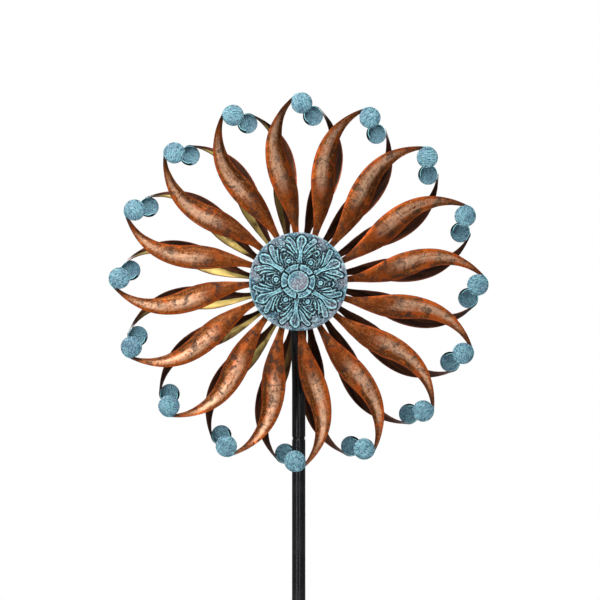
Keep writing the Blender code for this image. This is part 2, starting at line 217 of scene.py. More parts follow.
def soft_box(name, azimuth, height, distance, width, tall, power):
    """An area light aimed at the wheels. Azimuth 0 is in front, 90 on the right."""
    lamp = bpy.data.lights.new(name, "AREA")
    lamp.shape = "RECTANGLE"
    lamp.size = width
    lamp.size_y = tall
    lamp.energy = power
    box = bpy.data.objects.new(name, lamp)
    bpy.context.scene.collection.objects.link(box)
    turn = math.radians(azimuth)
    way = Vector((math.sin(turn), -math.cos(turn), 0)) * distance + Vector((0, 0, height))
    box.location = WHEEL_CENTRE + way
    box.rotation_euler = way.to_track_quat("Z", "Y").to_euler()


soft_box("key_box", -34, 1.5, 2.8, 0.9, 1.8, 86)
soft_box("front_box", 16, 1.4, 3.0, 0.7, 1.8, 11)
soft_box("low_left_box", -34, -0.7, 2.6, 0.2, 1.7, 6)
soft_box("low_right_box", 16, -0.7, 2.6, 0.2, 1.7, 4)
soft_box("top_box", -10, 2.4, 0.9, 1.8, 1.4, 52)
soft_box("rear_left_box", -145, 1.3, 2.8, 1.0, 1.8, 70)
soft_box("rear_right_box", 150, 1.0, 2.8, 1.0, 1.8, 50)

camera = bpy.data.objects.new("camera", bpy.data.cameras.new("camera"))
bpy.context.scene.collection.objects.link(camera)
camera.location = WHEEL_CENTRE + CAMERA_PLACE
camera.rotation_euler = (math.radians(90) + CAMERA_UP, 0, CAMERA_LEFT)
camera.data.lens = CAMERA_LENS
bpy.context.scene.camera = camera
bpy.context.scene.view_settings.view_transform = "Standard"


# ---------------------------------------------------------------- stand
# Three lengths of steel tube, each necked down at its top to plug into the next, powder coated black.
# The top one is squeezed oval and fish-mouthed round the axle's housing, with a run of weld between.

POLE_WALL = 1.2 * MM
SEAM_NECK = 4 * MM  # a pole necks down over this length
TOP_SPREAD = 2.25 * MM  # each side of the oval
OVAL_FROM = 175 * MM  # below the axle, where the pole starts to turn oval
OVAL_FULL = 50 * MM  # below the axle, where it is fully oval
TOUCH = 0.3 * MM  # gap between pieces that touch
POLE_STEPS = 72


def turned(profile, steps=96, closed=True):
    """Mesh of (radius, height) points turned about Z, the outer side running down."""
    build = bmesh.new()
    rows = []
    for radius, height in profile:
        count = steps if radius > 0 else 1
        angles = [math.tau * i / steps for i in range(count)]
        rows.append([build.verts.new((radius * math.cos(a), radius * math.sin(a), height)) for a in angles])
    following = rows[1:] + rows[:1] if closed else rows[1:]
    for upper, lower in zip(rows, following):
        for i in range(steps):
            ahead = (i + 1) % steps
            corners = (upper[i % len(upper)], lower[i % len(lower)], lower[ahead % len(lower)])
            corners += (upper[ahead % len(upper)],)
            if len(set(corners)) > 2:
                build.faces.new(list(dict.fromkeys(corners)))
    mesh = bpy.data.meshes.new("turned")
    build.to_mesh(mesh)
    build.free()
    return smoothed(mesh)


def smoothed(mesh, angle=35):
    mesh.shade_smooth()
    mesh.set_sharp_from_angle(angle=math.radians(angle))
    return mesh


def joined(*meshes):
    build = bmesh.new()
    for mesh in meshes:
        build.from_mesh(mesh)
    result = bpy.data.meshes.new("joined")
    build.to_mesh(result)
    build.free()
    return smoothed(result)


def applied(form):
    """The plain mesh of a form with modifiers; the form itself goes."""
    mesh = bpy.data.meshes.new_from_object(form.evaluated_get(bpy.context.evaluated_depsgraph_get()))
    bpy.data.objects.remove(form)
    return mesh


def cut(mesh, tool, operation="DIFFERENCE"):
    """The mesh less the tool, or joined to it."""
    piece = add_piece("cut", mesh)
    other = add_piece("tool", tool)
    step = piece.modifiers.new("Cut", "BOOLEAN")
    step.operation = operation
    step.object = other
    result = applied(piece)
    bpy.data.objects.remove(other)
    return smoothed(result)


def finished(name, mesh, body, slot, nodes, *materials):
    """Add a piece, let it ride on its body and hide the plain pieces it stands for."""
    piece = add_piece(name, mesh, *materials)
    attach(piece, body)
    if nodes:
        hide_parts(*nodes)
    return piece


def weld_bead(points, radius):
    """Closed run of weld along the points, swelling and narrowing with each pass of the torch."""
    points = np.array(points)
    along = np.roll(points, -1, axis=0) - np.roll(points, 1, axis=0)
    along /= np.linalg.norm(along, axis=1)[:, None]
    middle = points.mean(axis=0)
    away = points - middle
    away -= (away * along).sum(axis=1)[:, None] * along
    away /= np.linalg.norm(away, axis=1)[:, None]
    side = np.cross(along, away)
    count = len(points)
    swell = radius * (1 + 0.16 * np.abs(np.sin(np.arange(count) * math.pi / 4)))
    sides = 10
    build = bmesh.new()
    rows = []
    for i in range(count):
        row = []
        for k in range(sides):
            turn = math.tau * k / sides
            way = away[i] * math.cos(turn) + side[i] * math.sin(turn)
            row.append(build.verts.new(points[i] + way * swell[i]))
        rows.append(row)
    for i in range(count):
        for k in range(sides):
            corners = (rows[i][k], rows[i][k - 1], rows[i - 1][k - 1], rows[i - 1][k])
            build.faces.new(corners)
    bmesh.ops.recalc_face_normals(build, faces=build.faces)
    mesh = bpy.data.meshes.new("weld")
    build.to_mesh(mesh)
    build.free()
    return smoothed(mesh)


def powder_coat(name, colour, roughness, wear=0.0):
    """Baked powder coat: even colour, fine orange peel, a little dust, and grey where it is rubbed."""
    finish = Finish(name, colour, roughness)
    place = finish.place()
    peel = finish.noise(place, 1400.0, 2.0)
    dust = finish.noise(place, 30.0, 5.0, warp=0.5).between(0.45, 0.75)
    scuff = finish.noise(finish.stretched(place, (240, 240, 30)), 1.0, 5.0).between(0.60, 0.72)
    tone = finish.mix(dust * 0.5, colour, tuple(value * 1.9 + 0.004 for value in colour))
    finish.feed(finish.shader["Base Color"], finish.mix(scuff * wear, tone, (0.16, 0.16, 0.165)))
    finish.feed(finish.shader["Roughness"], dust * 0.12 + peel * 0.08 + scuff * wear * 0.2 + roughness - 0.06)
    finish.feed(finish.shader["Metallic"], scuff * wear * 0.6)
    finish.bump(peel, 0.04 * MM, 0.35)
    return finish.material


def pole_profile(node):
    """Outer side down, then inner side up, of a tube that necks down to its spigot."""
    low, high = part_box(node)
    radius = (high[0] - low[0]) / 2
    spigot = radius - POLE_WALL - TOUCH
    seam = SEAMS[node]
    lip = 0.35 * MM
    return [
        (spigot - POLE_WALL + lip, high[2]),
        (spigot - lip, high[2]),
        (spigot, high[2] - lip),
        (spigot, seam + lip),
        (spigot + lip, seam),
        (radius - lip, seam - SEAM_NECK + lip),
        (radius, seam - SEAM_NECK),
        (radius, low[2] + lip),
        (radius - lip, low[2]),
        (radius - POLE_WALL + lip, low[2]),
        (radius - POLE_WALL, low[2] + lip),
        (radius - POLE_WALL, seam - SEAM_NECK - POLE_WALL),
        (spigot - POLE_WALL, seam - POLE_WALL),
        (spigot - POLE_WALL, high[2] - lip),
    ]


def oval_pole():
    """The top tube: round at its foot, oval and fish-mouthed at the housing."""
    low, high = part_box("upper_pole")
    axle = WHEEL_CENTRE.z
    heights = [low[2] + 0.3 * MM]
    heights += list(np.linspace(axle - OVAL_FROM, axle - OVAL_FULL, 26))
    heights.append(high[2])
    build = bmesh.new()
    rows = []
    for height in heights:
        share = (height - axle + OVAL_FROM) / (OVAL_FROM - OVAL_FULL)
        half_width, half_depth = oval(ease(share))
        angles = np.arange(POLE_STEPS) * math.tau / POLE_STEPS
        rows.append([
            build.verts.new((half_width * math.cos(a), half_depth * math.sin(a), height)) for a in angles
        ])
    for lower, upper in zip(rows, rows[1:]):
        for i in range(POLE_STEPS):
            ahead = (i + 1) % POLE_STEPS
            build.faces.new((lower[i], lower[ahead], upper[ahead], upper[i]))
    mesh = bpy.data.meshes.new("upper_tube")
    build.to_mesh(mesh)
    build.free()
    tube = add_piece("upper_tube", mesh)
    wall = tube.modifiers.new("Wall", "SOLIDIFY")
    wall.thickness = POLE_WALL
    wall.offset = 0
    mouth = turned([
        (0, HOUSING_LENGTH), (HOUSING_RADIUS + TOUCH, HOUSING_LENGTH),
        (HOUSING_RADIUS + TOUCH, -HOUSING_LENGTH), (0, -HOUSING_LENGTH),
    ], closed=False)
    mouth.transform(Matrix.Translation(WHEEL_CENTRE) @ Matrix.Rotation(math.radians(90), 4, "X"))
    return cut(applied(tube), mouth)


def oval(share):
    """Half width and half depth of the tube's middle line, its girth kept."""
    middle = POLE_RADIUS - POLE_WALL / 2
    half_width = middle + TOP_SPREAD * share
    return half_width, math.sqrt(2 * middle**2 - half_width**2)


def ease(share):
    share = np.clip(share, 0, 1)
    return share * share * (3 - 2 * share)


POLE_RADIUS = (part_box("middle_pole")[1][0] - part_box("middle_pole")[0][0]) / 2
SEAMS = {  # each lower tube's seam is just under the foot of the tube above it
    "lower_pole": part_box("middle_pole")[0][2] - TOUCH,
    "middle_pole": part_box("upper_pole")[0][2] - TOUCH,
}
housing_low, housing_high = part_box("axle_housing")
HOUSING_RADIUS = (housing_high[0] - housing_low[0]) / 2
HOUSING_LENGTH = housing_high[1] - housing_low[1]
black_coat = powder_coat("black_powder_coat", (0.004, 0.004, 0.005), 0.26, 0.15)

for node in ("lower_pole", "middle_pole"):
    tube_mesh = turned(pole_profile(node), POLE_STEPS)
    finished(f"{node}_tube", tube_mesh, "stand", "black_powder_coat", [node], black_coat)
finished("upper_pole_tube", oval_pole(), "stand", "black_powder_coat", ["upper_pole"], black_coat)

seam_width, seam_depth = oval(1.0)
bead_line = []
for step in range(96):
    turn = math.tau * step / 96
    x = (seam_width + 0.9 * MM) * math.cos(turn)
    y = (seam_depth + 0.9 * MM) * math.sin(turn)
    drop = math.sqrt(max(HOUSING_RADIUS**2 - x**2, 0)) + 0.6 * MM
    bead_line.append((x, y, WHEEL_CENTRE.z - drop))
finished("housing_weld", weld_bead(bead_line, 1.3 * MM), "stand", "black_powder_coat", [], black_coat)


# ---------------------------------------------------------------- ground stake
# A flat steel bar with both ends forged down into pointed prongs, which a foot presses into the soil,
# and a round spike through its middle that also plugs into the foot of the pole. All of it is painted.

fork_low, fork_high = (Vector(corner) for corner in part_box("stake_fork"))
BAR_THICKNESS = 5 * MM
BEND_RADIUS = 5 * MM  # along the bar's middle line
POINT_LENGTH = 40 * MM
SPIKE_RADIUS = 5 * MM
SPIKE_POINT = 30 * MM
PLUG_LENGTH = 75 * MM


def bent_bar():
    """The fork: one flat bar bent down at both ends, each drawn to a point."""
    half_span = fork_high.x - BAR_THICKNESS / 2
    half_width = fork_high.y
    top = fork_high.z - BAR_THICKNESS / 2
    foot = fork_low.z
    line = [(0.0, top, 1.0), (half_span - BEND_RADIUS, top, 1.0)]
    for step in range(1, 9):
        turn = math.radians(90) * step / 8
        x = half_span - BEND_RADIUS + BEND_RADIUS * math.sin(turn)
        line.append((x, top - BEND_RADIUS + BEND_RADIUS * math.cos(turn), 1.0))
    for share, width in ((0.0, 1.0), (0.35, 0.86), (0.7, 0.42), (0.93, 0.12), (1.0, 0.03)):
        line.append((half_span, foot + POINT_LENGTH * (1 - share), width))
    line = [(-x, z, width) for x, z, width in line[:0:-1]] + line
    build = bmesh.new()
    rows = []
    for i, (x, z, width) in enumerate(line):
        before, after = line[max(i - 1, 0)], line[min(i + 1, len(line) - 1)]
        along = Vector((after[0] - before[0], 0, after[1] - before[1])).normalized()
        normal = Vector((-along.z, 0, along.x)) * BAR_THICKNESS / 2
        centre = Vector((x, 0, z))
        edge = Vector((0, half_width * width, 0))
        corners = (normal + edge, normal - edge, -normal - edge, edge - normal)
        rows.append([build.verts.new(centre + corner) for corner in corners])
    for near, far in zip(rows, rows[1:]):
        for k in range(4):
            build.faces.new((near[k], near[k - 1], far[k - 1], far[k]))
    build.faces.new(rows[0])
    build.faces.new(rows[-1][::-1])
    bmesh.ops.recalc_face_normals(build, faces=build.faces)
    long_edges = [edge for edge in build.edges if all(len(face.verts) == 4 for face in edge.link_faces)]
    corners = [edge for edge in long_edges if edge.calc_face_angle(0) > math.radians(50)]
    bmesh.ops.bevel(build, geom=corners, offset=0.7 * MM, segments=2, affect="EDGES", clamp_overlap=True)
    mesh = bpy.data.meshes.new("fork")
    build.to_mesh(mesh)
    build.free()
    hole = turned([
        (0, fork_high.z + BAR_THICKNESS), (SPIKE_RADIUS + TOUCH, fork_high.z + BAR_THICKNESS),
        (SPIKE_RADIUS + TOUCH, -BAR_THICKNESS), (0, -BAR_THICKNESS),
    ], 48, closed=False)
    return cut(mesh, hole)


def stake_paint():
    """Black paint over forged steel, scraped along the prongs and dull with old soil near the points."""
    finish = Finish("stake_steel", (0.03, 0.03, 0.032), 0.5, 0.3)
    place = finish.place()
    height = place.split()[2]
    scrape = finish.noise(finish.stretched(place, (500, 500, 22)), 1.0, 5.0).between(0.52, 0.70)
    soil = finish.noise(place, 90.0, 6.0, warp=0.8).between(0.42, 0.66) * (1 - height.between(-0.20, -0.06))
    forge = finish.noise(place, 160.0, 3.0)
    colour = finish.mix(scrape * 0.55, (0.016, 0.016, 0.017), (0.20, 0.20, 0.205))
    finish.feed(finish.shader["Base Color"], finish.mix(soil * 0.6, colour, (0.10, 0.065, 0.04)))
    finish.feed(finish.shader["Roughness"], forge * 0.2 + soil * 0.3 + 0.34)
    finish.feed(finish.shader["Metallic"], scrape * 0.8 * (1 - soil))
    finish.bump(forge + scrape * 0.4, 0.25 * MM, 0.5)
    return finish.material


spike_low, spike_high = (Vector(corner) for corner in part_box("stake_spike"))
plug_radius = spike_high.x
plug_foot = spike_high.z - PLUG_LENGTH
spike_line = [
    (0, spike_high.z),
    (plug_radius - MM, spike_high.z),
    (plug_radius, spike_high.z - MM),
    (plug_radius, plug_foot + 0.3 * MM),
    (plug_radius - 0.3 * MM, plug_foot),
    (SPIKE_RADIUS, plug_foot),
    (SPIKE_RADIUS, spike_low.z + SPIKE_POINT),
    (SPIKE_RADIUS * 0.85, spike_low.z + SPIKE_POINT * 0.8),
    (SPIKE_RADIUS * 0.12, spike_low.z + SPIKE_POINT * 0.06),
    (0, spike_low.z),
]
paint = stake_paint()
finished("stake_fork_bar", bent_bar(), "stand", "stake_steel", ["stake_fork"], paint)
spike = turned(spike_line, 48, closed=False)
finished("stake_spike_rod", spike, "stand", "stake_steel", ["stake_spike"], paint)
bead_radius = SPIKE_RADIUS + MM
bead_ring = [
    (bead_radius * math.cos(math.tau * i / 48), bead_radius * math.sin(math.tau * i / 48), -0.4 * MM)
    for i in range(48)
]
finished("stake_weld", weld_bead(bead_ring, 1.2 * MM), "stand", "stake_steel", [], paint)


# ---------------------------------------------------------------- axle and its fixings
# A zinc-plated steel rod, threaded at both ends, through a welded housing and held by one set screw.
# At each end a washer, two bearing rings with a spacer between them, and a lock nut.

THREAD_PITCH = 1.5 * MM
THREAD_DEPTH = 0.45 * MM
THREAD_LENGTH = 16 * MM
AXLE_RADIUS = (axle_high.x - axle_low.x) / 2
AXLE_HALF = (axle_high.y - axle_low.y) / 2
BORE = AXLE_RADIUS + TOUCH
RING_WALL = 2.2 * MM  # of each bearing ring
NUT_BEVEL = math.radians(30)
SIDES = {"front": 0.0, "rear": math.pi}  # the half turn that points a side's pieces out along the axle


def on_axle(side):
    """Turns a piece drawn along Z, from the pole's axis outwards, on to its end of the axle."""
    spin = Matrix.Rotation(SIDES[side], 4, "Z") @ Matrix.Rotation(math.radians(90), 4, "X")
    return Matrix.Translation(WHEEL_CENTRE) @ spin


def put(mesh, side):
    mesh.transform(on_axle(side))
    return mesh


def reach(node):
    """How far out along the axle a piece starts and ends, and its outer radius."""
    low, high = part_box(node)
    ends = sorted(abs(end - WHEEL_CENTRE.y) for end in (low[1], high[1]))
    return ends[0], ends[1], (high[0] - low[0]) / 2


def collar(inner, outer, low, high, edge=0.4 * MM, steps=96):
    """A ring with its sharp edges taken off."""
    return turned([
        (inner + edge, high), (outer - edge, high), (outer, high - edge), (outer, low + edge),
        (outer - edge, low), (inner + edge, low), (inner, low + edge), (inner, high - edge),
    ], steps)


def threaded_rod():
    """The axle: plain between its threads, which are cut as one helix at each end."""
    steps = 36
    build = bmesh.new()
    rows = []
    heights = np.arange(-AXLE_HALF, AXLE_HALF + 0.1 * MM, THREAD_PITCH / 6)
    heights = heights[(np.abs(heights) > AXLE_HALF - THREAD_LENGTH)]
    for height in heights:
        row = []
        for i in range(steps):
            turn = math.tau * i / steps
            phase = (height / THREAD_PITCH - turn / math.tau) % 1.0
            run_in = ease((abs(height) - AXLE_HALF + THREAD_LENGTH) / MM)
            groove = THREAD_DEPTH * (1 - abs(2 * phase - 1)) * run_in
            chamfer = max(0.0, abs(height) - AXLE_HALF + MM)
            radius = min(AXLE_RADIUS - float(groove), AXLE_RADIUS - chamfer)
            row.append(build.verts.new((radius * math.cos(turn), radius * math.sin(turn), height)))
        rows.append(row)
    for lower, upper in zip(rows, rows[1:]):
        for i in range(steps):
            ahead = (i + 1) % steps
            build.faces.new((lower[i], lower[ahead], upper[ahead], upper[i]))
    build.faces.new(rows[0][::-1])
    build.faces.new(rows[-1])
    mesh = bpy.data.meshes.new("axle")
    build.to_mesh(mesh)
    build.free()
    return smoothed(mesh, 50)


def lock_nut(low, high, corner):
    """Hexagon nut with both faces turned to a bevel and a bevelled bore."""
    slope = (corner - 0.93 * corner) * math.tan(NUT_BEVEL)
    hexagon = turned([(0, high), (corner, high), (corner, low), (0, low)], 6, closed=False)
    blank = turned([
        (0, high), (corner * 0.88, high), (corner * 1.02, high - slope * 2.4),
        (corner * 1.02, low + slope * 2.4), (corner * 0.88, low), (0, low),
    ], closed=False)
    nut = cut(hexagon, blank, "INTERSECT")
    bevel = 0.6 * MM
    bore = turned([
        (0, high + MM), (BORE + bevel + MM, high + MM), (BORE, high - bevel),
        (BORE, low + bevel), (BORE + bevel + MM, low - MM), (0, low - MM),
    ], 64, closed=False)
    return cut(nut, bore)


def set_screw():
    """Headless screw with a hexagon socket and a cup point."""
    low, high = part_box("axle_set_screw")
    radius = (high[0] - low[0]) / 2
    edge = 0.4 * MM
    body = turned([
        (0, high[2]), (radius - edge, high[2]), (radius, high[2] - edge), (radius, low[2] + edge),
        (radius - edge, low[2]), (0, low[2] + edge),
    ], 36, closed=False)
    flat = radius * 0.55
    socket = turned([(0, 1), (flat, 1), (flat, high[2] - 3 * MM), (0, high[2] - 3.5 * MM)], 6, closed=False)
    return cut(body, socket)


def plated(name, colour, roughness, lines):
    """Bright metal with fine turning marks round the axle and cloudy plating."""
    finish = Finish(name, colour, roughness, 1.0)
    place = finish.place()
    middle = finish.node(
        "ShaderNodeVectorMath", {"operation": "SUBTRACT"}, {0: place, 1: tuple(WHEEL_CENTRE)}, "Vector"
    )
    x, y, z = middle.split()
    radius = (x * x + z * z).maths("SQRT")
    marks = finish.noise(
        finish.node("ShaderNodeCombineXYZ", sockets={"X": radius * lines, "Y": y * lines}), 1.0, 4.0
    )
    cloud = finish.noise(place, 120.0, 4.0)
    darker = tuple(value * 0.55 for value in colour)
    finish.feed(finish.shader["Base Color"], finish.mix(cloud.between(0.35, 0.7), darker, colour))
    finish.feed(finish.shader["Roughness"], marks * 0.18 + cloud * 0.14 + roughness - 0.12)
    finish.bump(marks, 0.03 * MM, 0.5)
    return finish.material


zinc = plated("zinc_steel", (0.62, 0.63, 0.60), 0.32, 2600.0)
ground_steel = plated("bearing_steel", (0.72, 0.72, 0.73), 0.2, 5200.0)

rod = threaded_rod()
rod.transform(on_axle("front"))
finished("axle_rod", rod, "stand", "zinc_steel", ["axle"], zinc)
screw_low, screw_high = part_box("axle_set_screw")
finished("axle_grub_screw", set_screw(), "stand", "zinc_steel", ["axle_set_screw"], zinc)

housing = collar(BORE, HOUSING_RADIUS, -HOUSING_LENGTH / 2, HOUSING_LENGTH / 2, 0.6 * MM)
screw_hole = turned([
    (0, HOUSING_RADIUS * 2), ((screw_high[0] - screw_low[0]) / 2 + TOUCH, HOUSING_RADIUS * 2),
    ((screw_high[0] - screw_low[0]) / 2 + TOUCH, 0), (0, 0),
], 36, closed=False)
screw_hole.transform(Matrix.Rotation(math.radians(-90), 4, "X"))
housing = put(cut(housing, screw_hole), "front")
finished("axle_housing_tube", housing, "stand", "black_powder_coat", ["axle_housing"], black_coat)

for side in SIDES:
    low, high, outer = reach(f"{side}_washer")
    spacer_low, spacer_high, spacer_outer = reach(f"{side}_bearing_spacer")
    stack = joined(
        collar(BORE, outer, low, high, 0.25 * MM),
        collar(BORE, spacer_outer, spacer_low, spacer_high, 0.3 * MM),
    )
    nodes = [f"{side}_washer", f"{side}_bearing_spacer"]
    finished(f"{side}_washer_and_spacer", put(stack, side), "stand", "zinc_steel", nodes, zinc)
    low, high, outer = reach(f"{side}_axle_nut")
    nut = put(lock_nut(low, high, outer), side)
    finished(f"{side}_lock_nut", nut, "stand", "zinc_steel", [f"{side}_axle_nut"], zinc)


# ---------------------------------------------------------------- hubs and bearings
# Each hub is a turned steel barrel, pressed over two small ball bearings and painted black. The flat
# plate welded round it carries the blades, which are riveted on. The bearings are ground and polished.

HUB_EDGE = 0.5 * MM
HUB_STEP = 1.8 * MM  # height of the land between the bearings
BALL_COUNT = 8
RACE_GROOVE = 0.7 * MM
hub_paint = powder_coat("hub_black", (0.014, 0.014, 0.015), 0.42, 0.35)


def race(low, high, inner, outer, groove_outside):
    """A bearing ring with the track for its balls."""
    edge = 0.35 * MM
    middle = (low + high) / 2
    span = (high - low) / 4
    dip = [(middle + span * math.cos(t), RACE_GROOVE * math.sin(t)) for t in np.linspace(0, math.pi, 9)]
    outside = [(outer, high - edge), (outer, low + edge)]
    inside = [(inner, low + edge), (inner, high - edge)]
    if groove_outside:
        outside[1:1] = [(outer - depth, height) for height, depth in dip]
    else:
        inside[1:1] = [(inner + depth, height) for height, depth in dip[::-1]]
    return turned([(outer - edge, high), *outside, (outer - edge, low), (inner + edge, low), *inside,
                   (inner + edge, high)])


def hub_barrel(side):
    low, high, outer = reach(f"{side}_hub")
    bearing_high, seat = reach(f"{side}_bearing_1_outer_ring")[1:]
    second_low = reach(f"{side}_bearing_2_outer_ring")[0]
    seat += TOUCH
    land = seat - HUB_STEP
    return turned([
        (seat + HUB_EDGE, high), (outer - HUB_EDGE, high), (outer, high - HUB_EDGE), (outer, low + HUB_EDGE),
        (outer - HUB_EDGE, low), (seat + HUB_EDGE, low), (seat, low + HUB_EDGE), (seat, bearing_high + TOUCH),
        (land, bearing_high + TOUCH), (land, second_low - TOUCH), (seat, second_low - TOUCH),
        (seat, high - HUB_EDGE),
    ])


for side in SIDES:
    rotor = f"{side}_rotor"
    barrel_mesh = put(hub_barrel(side), side)
    finished(f"{side}_hub_barrel", barrel_mesh, rotor, "hub_black", [f"{side}_hub"], hub_paint)
    low, high, outer = reach(f"{side}_hub_plate")
    barrel = reach(f"{side}_hub")[2]
    plate = joined(
        collar(barrel + TOUCH, outer, low, high, 0.5 * MM, 128),
        turned([
            (barrel, low), (barrel, low - 2.2 * MM), (barrel + 1.2 * MM, low - 1.7 * MM),
            (barrel + 2.2 * MM, low), (barrel + 1.2 * MM, low + 0.4 * MM),
        ][::-1]),
    )
    finished(f"{side}_blade_plate", put(plate, side), rotor, "hub_black", [f"{side}_hub_plate"], hub_paint)
    inner_nodes = [f"{side}_bearing_{number}_inner_ring" for number in (1, 2)]
    outer_nodes = [f"{side}_bearing_{number}_outer_ring" for number in (1, 2)]
    rings = []
    for node in inner_nodes:
        low, high, outer = reach(node)
        rings.append(race(low, high, BORE, outer, True))
    cores = put(joined(*rings), side)
    finished(f"{side}_bearing_inner_rings", cores, "stand", "bearing_steel", inner_nodes, ground_steel)
    rings = []
    for node in outer_nodes:
        low, high, outer = reach(node)
        rings.append(race(low, high, outer - RING_WALL, outer, False))
    cups = put(joined(*rings), side)
    finished(f"{side}_bearing_outer_rings", cups, rotor, "bearing_steel", outer_nodes, ground_steel)


# ---------------------------------------------------------------- blades
# Each blade is one strip of thin sheet, cupped and hammered over a form, then twisted so that its tip
# stands on edge round a cap. It is copper-washed and brushed dark, with painted shade and a painted highlight
# on its face, a dark back with painted bronze light on the left of the wheels, and an edge made pale round
# its curl as a painted highlight.

BLADE_SHEET = 1.0 * MM
ROOT_RADIUS = 33 * MM  # from the axle to the end of a blade's root
CAP_CIRCLE = 287.8 * MM  # radius through the middles of the tip caps
TIP_OUT = 55.6 * MM  # where a blade's tip starts to curl
CAP_OUT = 59 * MM  # back of a cap's rim
CAP_RADIUS = 17.2 * MM
CURL = (math.radians(55), math.radians(-150))  # a tip curls from one angle to the other round its cap
CURL_WIDTHS = (7.5 * MM, 4.5 * MM)
CURL_TIGHTENING = 3 * MM
CURL_LEAN = math.radians(24)  # by which a tip still leans outwards where its curl starts
BOW = 42.7 * MM  # how far a blade's middle line sweeps aside at most
WIDTH = 40.6 * MM  # of a blade where it is widest
CUP_ANGLE = math.radians(32)  # half the arc of the cupped section at its widest
BLADE_COUNT = 16
DENT_SPACING = 12 * MM
DENT_DEPTH = 0.28 * MM
FIRST_BLADE = {"front": math.radians(1.1), "rear": math.radians(17.8)}  # rest angles
# Share of the reach, of the bow and of the width, and pitch in degrees
BLADE_STATIONS = (
    (0.000, 0.01, 0.23, 0),
    (0.153, 0.11, 0.22, 2),
    (0.236, 0.18, 0.31, 6),
    (0.334, 0.30, 0.59, 12),
    (0.440, 0.48, 0.90, 15),
    (0.541, 0.70, 1.00, 15),
    (0.644, 0.91, 0.87, 16),
    (0.742, 1.00, 0.70, 20),
    (0.836, 0.95, 0.53, 28),
    (0.899, 0.84, 0.40, 36),
    (0.958, 0.67, 0.28, 44),
)
BLADE_ROWS = 190
BLADE_STRIPS = 15
TIP_FADE = 45 * MM  # each blade darkens towards its tip over this length, and its curl is painted

PLATE_RADIUS = (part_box("front_hub_plate")[1][0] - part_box("front_hub_plate")[0][0]) / 2
PLATE_OUT = -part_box("front_hub_plate")[0][1]
ROOT_OUT = PLATE_OUT + 0.3 * MM + BLADE_SHEET / 2


def through(knots, values, at):
    """Smooth curve through rows of values."""
    slopes = np.gradient(values, knots, axis=0)
    first = np.clip(np.searchsorted(knots, at) - 1, 0, len(knots) - 2)
    span = (knots[first + 1] - knots[first])[:, None]
    t = (at - knots[first])[:, None] / span
    return (
        (2 * t**3 - 3 * t**2 + 1) * values[first]
        + (t**3 - 2 * t**2 + t) * span * slopes[first]
        + (3 * t**2 - 2 * t**3) * values[first + 1]
        + (t**3 - t**2) * span * slopes[first + 1]
    )


def blade_path():
    """Rows of x, y, out, width and pitch along a blade, their distances along it, and where it curls."""
    rows = []
    for along, bow, width, pitch in BLADE_STATIONS:
        radius = ROOT_RADIUS + (CAP_CIRCLE - ROOT_RADIUS) * along
        rise = ease((radius - PLATE_RADIUS) / (CAP_CIRCLE - PLATE_RADIUS))
        out = ROOT_OUT + (TIP_OUT - ROOT_OUT) * rise
        rows.append((radius, BOW * bow, out, WIDTH * width, math.radians(pitch)))
    for share in np.linspace(0, 1, 12):
        turn = CURL[0] + (CURL[1] - CURL[0]) * share
        width = CURL_WIDTHS[0] + (CURL_WIDTHS[1] - CURL_WIDTHS[0]) * share
        radius = CAP_RADIUS - BLADE_SHEET - CURL_TIGHTENING * share**2
        x, y = CAP_CIRCLE + radius * math.cos(turn), radius * math.sin(turn)
        pitch = math.radians(90) - CURL_LEAN * (1 - ease(2 * share))
        rows.append((x, y, CAP_OUT + BLADE_SHEET / 2 - width / 2 * math.sin(pitch), width, pitch))
    rows = np.array(rows)
    steps = np.linalg.norm(np.diff(rows[:, :3], axis=0), axis=1)
    knots = np.concatenate(([0], np.cumsum(steps)))
    at = np.linspace(0, knots[-1], BLADE_ROWS)
    return through(knots, rows, at), at, knots[len(BLADE_STATIONS)]


def blade_sheet():
    """Open sheet of one blade, drawn in X (radial), Z (up) and -Y (out), with its patterns' attributes."""
    rows, at, curl_start = blade_path()
    forward = np.gradient(rows[:, :2], at, axis=0)
    forward /= np.linalg.norm(forward, axis=1)[:, None]
    across = np.stack([forward[:, 1], -forward[:, 0], np.zeros(len(rows))], axis=1)
    outward = np.array([0, 0, 1.0])
    width, pitch = rows[:, 3], rows[:, 4]
    chord_way = across * np.cos(pitch)[:, None] - outward * np.sin(pitch)[:, None]
    bulge_way = outward * np.cos(pitch)[:, None] + across * np.sin(pitch)[:, None]
    cup = CUP_ANGLE * ease((width / WIDTH - 0.2) / 0.4) + 0.01
    share = np.linspace(-1, 1, BLADE_STRIPS + 1)
    sideways = width[:, None] / 2 * np.sin(cup[:, None] * share) / np.sin(cup)[:, None]
    rise = width[:, None] / 2 * (np.cos(cup[:, None] * share) - np.cos(cup)[:, None]) / np.sin(cup)[:, None]
    rise -= rise.max(axis=1)[:, None] / 2
    points = rows[:, None, :3] + chord_way[:, None] * sideways[..., None]
    points = points + bulge_way[:, None] * rise[..., None]
    points = np.stack([points[..., 0], -points[..., 2], points[..., 1]], axis=-1).reshape(-1, 3)
    count = BLADE_STRIPS + 1
    faces = [
        (row * count + i, row * count + i + 1, (row + 1) * count + i + 1, (row + 1) * count + i)
        for row in range(BLADE_ROWS - 1)
        for i in range(BLADE_STRIPS)
    ]
    mesh = bpy.data.meshes.new("blade_sheet")
    mesh.from_pydata(points.tolist(), [], faces)
    spread = np.tile(share, (BLADE_ROWS, 1)).ravel()
    length = np.repeat(at, count)
    tip = ease((length - curl_start + TIP_FADE) / TIP_FADE)
    curl = ease((length - curl_start) / (at[-1] - curl_start) * 2)
    fields = {"spread": spread, "length": length, "side": sideways.ravel(), "tip": tip, "curl": curl}
    for name, values in fields.items():
        mesh.attributes.new(name, "FLOAT", "POINT").data.foreach_set("value", values.astype(np.float32))
    return mesh


